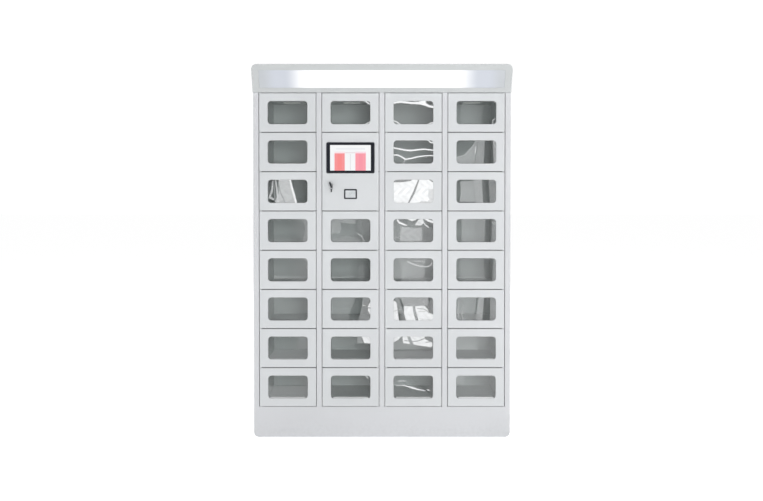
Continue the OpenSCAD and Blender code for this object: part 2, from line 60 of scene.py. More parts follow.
# Shapes are made in millimetres and turned into metres by Shape.make()
MM = 0.001
COLUMNS, ROWS = 4, 8
CONTROL_COLUMN, CONTROL_ROWS = 2, (2, 3)
LOCKERS = [(c, r) for c in range(1, COLUMNS + 1) for r in range(1, ROWS + 1)
           if not (c == CONTROL_COLUMN and r in CONTROL_ROWS)]


def box_mm(node):
    """A node's lowest and highest corners, in millimetres."""
    low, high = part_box(node)
    return Vector(low) / MM, Vector(high) / MM


SURROUND = box_mm("front_surround")
FRONT_Y = SURROUND[0].y
HEADER_Z = SURROUND[1].z
DOOR = box_mm("door_c1_r1")
DOOR_W = DOOR[1].x - DOOR[0].x
DOOR_H = DOOR[1].z - DOOR[0].z
ROW = DOOR[0].z - box_mm("door_c1_r2")[0].z
COLUMN = box_mm("door_c2_r1")[0].x - DOOR[0].x
DOORS_Z = HEADER_Z - ROWS * ROW
ROW_GAP = ROW - DOOR_H
PIVOTS = {j["child"]: Vector(j["pos_m"]) / MM for j in frame["joints"] if j["type"] == "hinge"}
SCREEN = box_mm("touchscreen_housing")
GLASS = box_mm("touchscreen_glass")
SCANNER = box_mm("barcode_scanner")
LOCK = box_mm("cam_lock_body")
OUTLETS = box_mm("charge_outlets")
SCREWS = box_mm("panel_screws")
KEY_AT = PIVOTS["lock_cam_and_key"]
SPARE_AT = PIVOTS["spare_key_on_ring"]


def column_x(c):
    return (c - (COLUMNS + 1) / 2) * COLUMN


def row_z(r):
    return DOORS_Z + (ROWS - r) * ROW


def middle(box):
    return (box[0] + box[1]) / 2


def hinge_side(c):
    """-1 for a column whose doors hinge at their left, 1 at their right."""
    return 1 if PIVOTS[f"locker_door_c{c}_r1"].x > column_x(c) else -1


# ---- Mesh helpers ----

# Points closer than this, in millimetres, are one, and edges under this angle are shaded smooth
MERGE, SMOOTH_UNDER = 0.01, 35.0


def arc(x, z, r, start, steps):
    """A quarter turn's points, from an angle in degrees."""
    angles = [math.radians(start + 90 * i / steps) for i in range(steps + 1)]
    return [(x + r * math.cos(a), z + r * math.sin(a)) for a in angles]


def rounded(x0, z0, x1, z1, r_low, r_high=None, steps=6):
    """A rectangle with round corners, anticlockwise from its lower right corner."""
    r_high = r_low if r_high is None else r_high
    return (arc(x1 - r_low, z0 + r_low, r_low, -90, steps)
            + arc(x1 - r_high, z1 - r_high, r_high, 0, steps)
            + arc(x0 + r_high, z1 - r_high, r_high, 90, steps)
            + arc(x0 + r_low, z0 + r_low, r_low, 180, steps))


def circle(a, b, r, steps):
    """Points round a centre, as pairs."""
    return [(a + r * math.cos(t), b + r * math.sin(t)) for t in (math.tau * i / steps for i in range(steps))]


def turned_ring(x, z, r, y, steps):
    """A circle about an axis along Y."""
    return [Vector((a, y, b)) for a, b in circle(x, z, r, steps)]


def frame_ring(cx, cz, w, h, r, y, steps=6):
    """A round-cornered rectangle centred at cx, cz, as points in the plane at y."""
    half_w, half_h = w / 2, h / 2
    flat = rounded(cx - half_w, cz - half_h, cx + half_w, cz + half_h, max(r, 0.05), steps=steps)
    return [Vector((x, y, z)) for x, z in flat]


class Shape:
    """Faces gathered in millimetres, each with the number of its material."""

    def __init__(self):
        self.points, self.faces, self.slots = [], [], []

    def add(self, points, faces, slot=0):
        first = len(self.points)
        self.points += [Vector(p) for p in points]
        self.faces += [tuple(first + i for i in f) for f in faces]
        self.slots += [slot] * len(faces)

    def loft(self, rings, slot=0, wrap=False):
        """Quads between rings of equally many points, and from the last to the first with wrap."""
        n = len(rings[0])
        faces = []
        for k in range(len(rings) if wrap else len(rings) - 1):
            a, b = k * n, (k + 1) % len(rings) * n
            faces += [(a + i, a + (i + 1) % n, b + (i + 1) % n, b + i) for i in range(n)]
        self.add([p for ring in rings for p in ring], faces, slot)

    def cap(self, outer, holes=(), slot=0):
        """A flat face inside a ring, with holes."""
        loops = [list(outer)] + [list(h) for h in holes]
        triangles = tessellate_polygon(loops)
        self.add([p for loop in loops for p in loop], [tuple(t) for t in triangles], slot)

    def solid(self, rings, slot=0):
        """A closed lump: rings joined in turn, with a cap at each end."""
        self.loft(rings, slot)
        self.cap(rings[0], slot=slot)
        self.cap(rings[-1], slot=slot)

    def lathe_y(self, x, z, profile, slot=0, steps=32):
        """A turned piece about an axis along Y. profile is a list of (radius, y)."""
        self.solid([turned_ring(x, z, r, y, steps) for r, y in profile], slot)

    def block(self, x0, x1, y0, y1, z0, z1, bevel, slot=0):
        """A box with bevelled front and back edges, and corners as round as the bevel."""
        cx, cz, w, h = (x0 + x1) / 2, (z0 + z1) / 2, x1 - x0, z1 - z0
        self.solid([frame_ring(cx, cz, w - 2 * d, h - 2 * d, bevel - d, y, 2)
                    for d, y in ((bevel, y0), (bevel * 0.3, y0 + bevel * 0.3), (0, y0 + bevel),
                                 (0, y1 - bevel), (bevel * 0.3, y1 - bevel * 0.3), (bevel, y1))], slot)

    def join(self, other, matrix):
        """Takes in another shape with its materials, moved by a matrix."""
        first = len(self.slots)
        self.add([matrix @ p for p in other.points], other.faces)
        self.slots[first:] = other.slots

    def make(self, name, materials, body):
        """The Blender object, riding on a body."""
        mesh = bpy.data.meshes.new(name)
        mesh.from_pydata([p * MM for p in self.points], [], self.faces)
        mesh.polygons.foreach_set("material_index", self.slots)
        for m in materials:
            mesh.materials.append(m)
        tidy_faces(mesh)
        mesh.polygons.foreach_set("use_smooth", [True] * len(mesh.polygons))
        mesh.set_sharp_from_angle(angle=math.radians(SMOOTH_UNDER))
        obj = linked(name, mesh)
        even = obj.modifiers.new("even_shading", "WEIGHTED_NORMAL")
        even.keep_sharp = True
        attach(obj, body)
        return obj


def linked(name, data):
    """A new object in the scene."""
    obj = bpy.data.objects.new(name, data)
    bpy.context.scene.collection.objects.link(obj)
    return obj


def tidy_faces(mesh):
    """Joins doubled points and turns the faces outwards."""
    bm = bmesh.new()
    bm.from_mesh(mesh)
    bmesh.ops.remove_doubles(bm, verts=bm.verts, dist=MERGE * MM)
    bmesh.ops.recalc_face_normals(bm, faces=bm.faces)
    bm.to_mesh(mesh)
    bm.free()


# ---- Material helpers ----

class Nodes:
    """A node material with a few short calls for the patterns that the pieces share."""

    def __init__(self, name, colour, roughness=0.5, metallic=0.0):
        self.mat = bpy.data.materials.new(name)
        self.mat.use_nodes = True
        self.tree = self.mat.node_tree
        self.shader = self.tree.nodes["Principled BSDF"]
        self.coords = self.tree.nodes.new("ShaderNodeTexCoord").outputs["Object"]
        self.set("Base Color", (*colour, 1))
        self.set("Roughness", roughness)
        self.set("Metallic", metallic)

    def set(self, socket, value):
        """Sets one of the shader's inputs, to a value or to another node's output."""
        self.feed(self.shader.inputs[socket], value)

    def node(self, kind, **inputs):
        n = self.tree.nodes.new("ShaderNode" + kind)
        for key, value in inputs.items():
            self.feed(n.inputs[key], value)
        return n

    def feed(self, socket, value):
        if isinstance(value, bpy.types.NodeSocket):
            self.tree.links.new(value, socket)
        else:
            socket.default_value = value

    def maths(self, operation, a, b=0.0, c=0.0, clamp=False):
        n = self.tree.nodes.new("ShaderNodeMath")
        n.operation = operation
        n.use_clamp = clamp
        for i, value in enumerate((a, b, c)):
            self.feed(n.inputs[i], value)
        return n.outputs[0]

    def noise(self, scale, detail=2.0, stretch=(1, 1, 1)):
        mapping = self.node("Mapping", Vector=self.coords)
        mapping.inputs["Scale"].default_value = stretch
        return self.node("TexNoise", Vector=mapping.outputs[0], Scale=scale, Detail=detail).outputs["Fac"]

    def ramp(self, value, low, high, out_low=0.0, out_high=1.0):
        n = self.tree.nodes.new("ShaderNodeMapRange")
        n.interpolation_type = "SMOOTHSTEP"
        for key, v in zip(("Value", "From Min", "From Max", "To Min", "To Max"),
                          (value, low, high, out_low, out_high)):
            self.feed(n.inputs[key], v)
        return n.outputs[0]

    def mix(self, factor, a, b):
        n = self.tree.nodes.new("ShaderNodeMix")
        n.data_type = "RGBA"
        self.feed(n.inputs[0], factor)
        self.feed(n.inputs[6], (*a, 1) if isinstance(a, tuple) else a)
        self.feed(n.inputs[7], (*b, 1) if isinstance(b, tuple) else b)
        return n.outputs[2]

    def split(self):
        """The object coordinates, in metres."""
        return self.node("SeparateXYZ", Vector=self.coords).outputs

    def bump(self, height, strength, distance):
        n = self.node("Bump", Strength=strength, Distance=distance, Height=height)
        self.set("Normal", n.outputs[0])

    def see_through(self, share, colour=(1, 1, 1)):
        """Shows the shader for its share, and for the rest what is behind, in a colour."""
        clear = self.node("BsdfTransparent", Color=(*colour, 1))
        mixed = self.node("MixShader", Fac=share)
        self.feed(mixed.inputs[1], clear.outputs[0])
        self.feed(mixed.inputs[2], self.shader.outputs[0])
        self.feed(self.tree.nodes["Material Output"].inputs["Surface"], mixed.outputs[0])

    def paint(self, a, b, factor):
        self.set("Base Color", self.mix(factor, a, b))


def tint(colour, by):
    return tuple(c * by for c in colour)


# Painted shade: a dark band on the fronts of the shelves and liners behind each row gap, standing in
# for the shade in the gaps between the doors. In millimetres: how far back from the doors' face it
# reaches, its half width, and the width over which each edge fades
GAP_SHADE_BACK, GAP_SHADE_HALF, GAP_SHADE_FADE = 22.0, 3.2, 0.4
GAP_SHADE_COLOUR = (0.10, 0.10, 0.10)
# How high dust shows, in metres
DUST_HIGH = 0.14


def powder_coat(name, colour, dusty=False, gap_shaded=False):
    """Fine orange-peel paint with a faint unevenness, a little dust low down if it is dusty, and for
    the shelves and liners painted shade: a dark band along each row line of its front, standing in for
    the shade in the gaps between the doors."""
    n = Nodes(name, colour, 0.42)
    uneven = n.ramp(n.noise(3.1, 3.0), 0.3, 0.7)
    shade = n.mix(uneven, tint(colour, 0.975), tint(colour, 1.015))
    if dusty:
        height = n.ramp(n.split()[2], 0.0, DUST_HIGH, 0.22, 0.0)
        marks = n.maths("MULTIPLY", height, n.ramp(n.noise(55.0, 4.0), 0.35, 0.75))
        shade = n.mix(marks, shade, tint(colour, 0.72))
    # Painted shade: a dark band on the front edges behind the row gaps, where the gaps fall in shade
    if gap_shaded:
        from_row = n.maths("PINGPONG", n.maths("SUBTRACT", n.split()[2], DOORS_Z * MM), ROW / 2 * MM)
        on_line = n.ramp(from_row, GAP_SHADE_HALF * MM, (GAP_SHADE_HALF + GAP_SHADE_FADE) * MM, 1.0, 0.0)
        back = FRONT_Y + GAP_SHADE_BACK
        in_front = n.ramp(n.split()[1], back * MM, (back + GAP_SHADE_FADE) * MM, 1.0, 0.0)
        shade = n.mix(n.maths("MULTIPLY", on_line, in_front), shade, GAP_SHADE_COLOUR)
    n.set("Base Color", shade)
    n.set("Roughness", n.ramp(n.noise(40.0, 2.0), 0.3, 0.7, 0.37, 0.47))
    n.bump(n.noise(780.0, 2.0), 0.22, 0.0004)
    return n.mat


def brushed(name, colour, roughness, stretch=(1, 1, 40)):
    """Plated or brushed steel, with fine streaks."""
    n = Nodes(name, colour, roughness, 1.0)
    streaks = n.noise(160.0, 3.0, stretch)
    n.paint(tint(colour, 0.82), tint(colour, 1.12), streaks)
    n.set("Roughness", n.ramp(streaks, 0.3, 0.7, roughness - 0.08, roughness + 0.1))
    n.bump(streaks, 0.08, 0.0002)
    return n.mat


def moulded(name, colour, roughness, grain=900.0):
    """Moulded plastic or rubber, with a fine spark-eroded texture."""
    n = Nodes(name, colour, roughness)
    n.paint(tint(colour, 0.85), tint(colour, 1.2), n.ramp(n.noise(90.0, 3.0), 0.35, 0.65))
    fine = n.noise(grain / 4, 2.0)
    n.set("Roughness", n.ramp(fine, 0.3, 0.7, roughness - 0.06, roughness + 0.08))
    n.bump(n.noise(grain, 2.0), 0.18, 0.0002)
    return n.mat


def srgb(*values):
    """A colour given from 0 to 255, as the linear values that shaders use."""
    return tuple(((v / 255 + 0.055) / 1.055) ** 2.4 for v in values)


WHITE_PAINT = (0.484, 0.498, 0.510)
FRAME_PAINT = (0.480, 0.488, 0.504)
HEADER_PAINT = (0.368, 0.382, 0.386)
LINER_PAINT = (0.64, 0.66, 0.66)
FILM_WHITE = (0.655, 0.665, 0.672)

door_paint = powder_coat("door_paint", WHITE_PAINT)
frame_paint = powder_coat("frame_paint", FRAME_PAINT, dusty=True)
header_paint = powder_coat("header_paint", HEADER_PAINT)
liner_paint = powder_coat("liner_paint", LINER_PAINT, gap_shaded=True)
zinc = brushed("zinc_plate", (0.58, 0.59, 0.60), 0.38)
chrome = brushed("satin_chrome", (0.60, 0.61, 0.62), 0.42, (1, 1, 1))
psu_metal = brushed("psu_case", (0.66, 0.67, 0.68), 0.42, (40, 1, 1))
rubber = moulded("gasket_rubber", (0.105, 0.112, 0.112), 0.62, 600.0)
foot_rubber = moulded("foot_rubber", (0.03, 0.03, 0.032), 0.7, 500.0)
black = moulded("black_moulding", (0.016, 0.018, 0.023), 0.36)
controller_grey = moulded("controller_case", (0.055, 0.058, 0.063), 0.5, 700.0)
board_green = moulded("circuit_board", (0.02, 0.12, 0.055), 0.35, 300.0)
white_plastic = moulded("white_moulding", (0.74, 0.74, 0.73), 0.4)
contact_gold = brushed("contact_gold", (0.83, 0.62, 0.28), 0.3)


def acrylic():
    """A clear pane: what is behind it, with a mirror shine that grows at a slant."""
    n = Nodes("clear_acrylic", (0.02, 0.022, 0.022), 0.04)
    n.bump(n.noise(9.0, 1.0), 0.25, 0.004)
    n.set("Specular IOR Level", 1.0)
    facing = n.node("LayerWeight", Blend=0.5).outputs["Facing"]
    share = n.maths("MULTIPLY_ADD", n.maths("POWER", facing, 5.0), 0.9, 0.07, clamp=True)
    n.see_through(share, (0.93, 0.95, 0.945))
    return n.mat


def film_material():
    """Thin transport film: clear where it lies flat, milky where it has lifted and creased, and white
    where its folds stand in for the lights' glints: painted highlights.
    """
    n = Nodes("transport_film", FILM_WHITE, 0.26)
    haze_and_glint = n.tree.nodes.new("ShaderNodeAttribute")
    haze_and_glint.attribute_name = "haze_and_glint"
    fine = n.ramp(n.noise(34.0, 2.0, (1, 1, 2.0)), 0.30, 0.72, 0.95, 1.04)
    amount = n.maths("MULTIPLY", haze_and_glint.outputs["Fac"], fine, clamp=True)
    n.bump(n.noise(70.0, 3.0, (1, 1, 1.8)), 0.3, 0.001)
    n.set("Specular IOR Level", 0.6)
    n.see_through(amount)
    return n.mat


# Metres from the header's middle: where the panel dims, and where it is no longer lit
TUBE_FADE, TUBE_END = (0.375, 0.49), (0.53, 0.61)


def light_panel():
    """Opal sheet over the tube: white along the tube and dimmer towards its two ends."""
    n = Nodes("opal_acrylic", (0.25, 0.255, 0.265), 0.3)
    along = n.maths("ABSOLUTE", n.split()[0])
    fade = n.ramp(along, *TUBE_FADE)
    end = n.ramp(along, *TUBE_END)
    lit = n.mix(fade, (0.70, 0.70, 0.70), (0.225, 0.25, 0.30))
    n.set("Emission Color", n.mix(end, lit, (0.165, 0.185, 0.20)))
    n.set("Emission Strength", 1.0)
    n.set("Roughness", n.ramp(n.noise(400.0), 0.3, 0.7, 0.30, 0.36))
    n.bump(n.noise(500.0), 0.1, 0.0001)
    return n.mat


def frosted_tube():
    """A lit diffuser with a faintly uneven frosting."""
    n = Nodes("led_tube", (0.8, 0.8, 0.8), 0.5)
    uneven = n.ramp(n.noise(120.0, 3.0), 0.3, 0.7, 0.92, 1.05)
    n.set("Emission Color", (1, 1, 1, 1))
    n.set("Emission Strength", n.maths("MULTIPLY", uneven, 0.9))
    n.bump(n.noise(900.0), 0.15, 0.0002)
    return n.mat


# Millimetres: a compartment's ceiling below its row line, and where on the bar its lit half begins
CEILING_DROP, BAR_STRIP = 24.0, (3.6, 4.4)


def led_bar():
    """A grey housing with a softly lit strip along its lower half."""
    n = Nodes("led_bar", (0.3, 0.3, 0.3), 0.45)
    ceiling = (DOORS_Z - CEILING_DROP) * MM
    drop = n.maths("WRAP", n.maths("SUBTRACT", ceiling, n.split()[2]), ROW * MM, 0.0)
    strip = n.ramp(drop, *(depth * MM for depth in BAR_STRIP))
    n.paint((0.22, 0.225, 0.23), (0.62, 0.62, 0.60), strip)
    n.set("Emission Color", n.mix(strip, (0, 0, 0), (0.17, 0.17, 0.165)))
    n.set("Emission Strength", n.ramp(n.noise(120.0, 3.0), 0.3, 0.7, 0.9, 1.1))
    n.bump(n.noise(900.0), 0.12, 0.0002)
    return n.mat


def dark_glass():
    """Black glass round the picture, faintly uneven in its gloss."""
    n = Nodes("screen_glass", srgb(22, 25, 33), 0.08)
    n.set("Roughness", n.ramp(n.noise(25.0, 3.0), 0.35, 0.7, 0.06, 0.14))
    n.set("Coat Weight", 0.3)
    return n.mat


def display():
    """The lit picture: a pale page with two pink columns, and nothing to read."""
    n = Nodes("lit_display", (0.01, 0.01, 0.012), 0.1)
    x = n.maths("SUBTRACT", n.split()[0], middle(GLASS).x * MM)
    z = n.maths("SUBTRACT", n.split()[2], middle(GLASS).z * MM)

    def between(value, low, high, soft=0.5):
        rise = n.ramp(value, (low - soft) * MM, (low + soft) * MM)
        fall = n.ramp(value, (high - soft) * MM, (high + soft) * MM, 1.0, 0.0)
        return n.maths("MULTIPLY", rise, fall)

    def area(x0, x1, z0, z1):
        return n.maths("MULTIPLY", between(x, x0, x1), between(z, z0, z1))

    page = n.mix(n.ramp(n.noise(14.0, 1.0), 0.3, 0.7), srgb(244, 246, 247), srgb(249, 250, 250))
    # Left, right, low and high edges from the picture's middle, and a colour
    marks = ((-81, -29, -67, 23, srgb(249, 149, 150)), (25, 78, -67, 23, srgb(252, 160, 171)),
             (-81, -28, 24, 31, srgb(252, 228, 232)), (25, 79, 24, 31, srgb(252, 220, 230)),
             (-28, 25, 24, 27, srgb(226, 206, 212)), (-2.4, 1.2, -62, 20, srgb(226, 226, 228)),
             (-74, 74, 41, 50, srgb(238, 240, 242)), (-66, -44, -60, 18, srgb(250, 142, 140)),
             (42, 62, -60, 18, srgb(250, 154, 168)))
    for x0, x1, z0, z1, colour in marks:
        page = n.mix(area(x0, x1, z0, z1), page, colour)
    n.set("Emission Color", page)
    n.set("Emission Strength", 0.97)
    return n.mat


def scan_window():
    """The scanner's pale window."""
    n = Nodes("scan_window", srgb(182, 186, 188), 0.16)
    n.paint(srgb(177, 182, 184), srgb(187, 190, 192), n.ramp(n.noise(60.0), 0.3, 0.7))
    n.set("Coat Weight", 0.5)
    return n.mat


clear_pane = acrylic()
film_sheet = film_material()
opal = light_panel()
tube_light = frosted_tube()
bar_light = led_bar()
glass_black = dark_glass()
lit_display = display()
scanner_glass = scan_window()
scan_mark = moulded("scan_mark", srgb(146, 150, 153), 0.4)


# ---- Doors ----

# Millimetres: the steel's thickness, the leaf's depth, its back lip, and a window's turned-in edge
SHEET, LEAF, LIP, SILL = 1.2, 20.0, 16.0, 13.0
FOLD_R, EDGE_R = 1.6, 0.7
WINDOW_W, WINDOW_H, WINDOW_R = 202.0, 118.0, 17.0
PANE_W, PANE_H, PANE_R = WINDOW_W + 14.0, WINDOW_H + 14.0, WINDOW_R + 4.0
PANE_BACK = SILL + 3.4
PIVOT_X, PIVOT_BACK = -abs(PIVOTS["locker_door_c1_r1"].x - column_x(1)), 6
BUSH_R, BUSH_BORE, BUSH_H = 4.5, 2.6, 6.2
BUFFER_Z = 70


def leaf_shape(h, holes, sill=SHEET):
    """A folded pan about its own centre, hinged at its left, with rolled edges. holes are
    (cx, cz, w, h, r), and sill is how far back their edges are turned in."""
    s = Shape()

    def outer(inset, y):
        return frame_ring(0, 0, DOOR_W - 2 * inset, h - 2 * inset, FOLD_R + 0.2 - inset, y, 3)

    def hole(o, grow, y):
        return frame_ring(o[0], o[1], o[2] + 2 * grow, o[3] + 2 * grow, o[4] + grow, y, 8)

    path = ((FOLD_R, 0), (0.78, 0.13), (0.13, 0.78), (0, FOLD_R), (0, LEAF - 0.8), (0.25, LEAF - 0.2),
            (0.8, LEAF), (LIP, LEAF), (LIP, LEAF - SHEET), (SHEET, LEAF - SHEET), (SHEET, SHEET))
    s.loft([outer(d, y) for d, y in path])
    turned_in = [(EDGE_R, 0), (0.2, 0.2), (0, EDGE_R), (0, sill)]
    if sill > SHEET:
        turned_in += [(SHEET, sill), (SHEET, SHEET)]
    for o in holes:
        s.loft([hole(o, g, y) for g, y in turned_in])
    s.cap(outer(*path[0]), [hole(o, EDGE_R, 0) for o in holes])
    s.cap(outer(*path[-1]), [hole(o, turned_in[-1][0], SHEET) for o in holes])
    # Hinge bushes in the corners
    for side in (-1, 1):
        z = side * (h / 2 - 0.6)
        end = z - side * BUSH_H
        turned = [(BUSH_R, z), (BUSH_R, end), (BUSH_BORE, end), (BUSH_BORE, z)]
        s.loft([[Vector((a, b, at)) for a, b in circle(PIVOT_X, PIVOT_BACK, r, 24)] for r, at in turned],
               wrap=True)
    return s


def window_rings(profile):
    """The window's outline for each (how much larger, y) of a profile."""
    return [frame_ring(0, 0, WINDOW_W + 2 * grow, WINDOW_H + 2 * grow, WINDOW_R + grow, y, 8)
            for grow, y in profile]


def gasket(s, slot):
    """A rubber lip along the back of the turned-in edge, seen as a thin dark line."""
    s.loft(window_rings([(0.1, SILL - 1.4), (-0.8, SILL - 1.7), (-1.6, SILL - 1.5), (-2.1, SILL - 0.8),
                         (-2.1, SILL + 0.1), (0.1, SILL + 0.1)]), slot, wrap=True)


def retainer(s, slot):
    """The steel frame that presses the pane forward, with its welded studs and nuts."""
    s.loft(window_rings([(1, PANE_BACK), (1, PANE_BACK + 1.5), (11.4, PANE_BACK + 1.5),
                         (12, PANE_BACK + 0.9), (12, SHEET + 0.1), (10.5, SHEET + 0.1),
                         (10.5, PANE_BACK)]), slot, wrap=True)
    for x in (-1, 1):
        for z in (-1, 1):
            at_x, at_z = x * (WINDOW_W / 2 + 6.4), z * (WINDOW_H / 2 - 6)
            s.lathe_y(at_x, at_z, [(1.6, PANE_BACK + 1.3), (1.6, LEAF - 0.5), (1.2, LEAF - 0.1)], slot, 16)
            s.lathe_y(at_x, at_z, [(2.7, PANE_BACK + 1.4), (3.0, PANE_BACK + 1.6), (3.0, LEAF - 1.2),
                                   (2.7, LEAF - 0.9)], slot, 6)


def strike(s, x, slot):
    """The hooked plate that the electronic lock catches, welded to the back lip."""
    profile = [(LEAF - 1, -10), (LEAF + 26, -10), (LEAF + 28, -8), (LEAF + 28, 8), (LEAF + 26, 10),
               (LEAF - 1, 10)]
    eye = circle(LEAF + 19, 0, 4.5, 20)
    sides = []
    for at in (x - 1.25, x + 1.25):
        edge = [Vector((at, y, z)) for y, z in profile]
        hole = [Vector((at, y, z)) for y, z in eye]
        s.cap(edge, [hole], slot)
        sides.append((edge, hole))
    s.loft([sides[0][0], sides[1][0]], slot)
    s.loft([sides[0][1], sides[1][1]], slot)


def placed(shape, c, cz):
    """A shape drawn left-hinged about its own centre, put where the door is."""
    flip = Matrix.Scale(-1, 4, (1, 0, 0)) if hinge_side(c) > 0 else Matrix.Identity(4)
    out = Shape()
    out.join(shape, Matrix.Translation((column_x(c), FRONT_Y, cz)) @ flip)
    return out


def locker_shapes():
    """The leaf with its fittings, and the pane, drawn once for all the locker doors."""
    window = (0, 0, WINDOW_W, WINDOW_H, WINDOW_R)
    leaf = leaf_shape(DOOR_H, [window], SILL)
    gasket(leaf, 1)
    retainer(leaf, 2)
    strike(leaf, DOOR_W / 2 - 12, 2)
    for z in (-BUFFER_Z, BUFFER_Z):
        leaf.lathe_y(DOOR_W / 2 - 9, z, [(4.5, LEAF - 0.2), (4.5, LEAF + 0.9), (3.6, LEAF + 1.5)], 1, 20)
    pane = Shape()
    pane.solid([frame_ring(0, 0, PANE_W - 2 * d, PANE_H - 2 * d, PANE_R - d, y, 8)
                for d, y in ((0.3, SILL + 0.2), (0, SILL + 0.5), (0, SILL + 2.9), (0.3, SILL + 3.2))])
    return leaf, pane


# ---- Film on the windows ----

# Millimetres: the film's gap at the window's edge, its two grid steps, how far haze lifts it, where
# its rim is behind the door's face and how much further back the rest lies, and where from the edge
# that starts and over what width. The ripple is in radians a millimetre. FILM_BASE is the haze where
# nothing is painted.
FILM_EDGE, FILM_FINE, FILM_COARSE = 0.4, 2.0, 6.0
FILM_BASE, FILM_RISE = 0.05, 1.7
FILM_FRONT, FILM_SINK = -0.06, 1.3
LIES_FROM, LIES_OVER = 2.2, 2.5
RIPPLE_X, RIPPLE_Z, RIPPLE_BEND = 0.16, 0.09, 2.1
SOFT_EDGE = 2.4
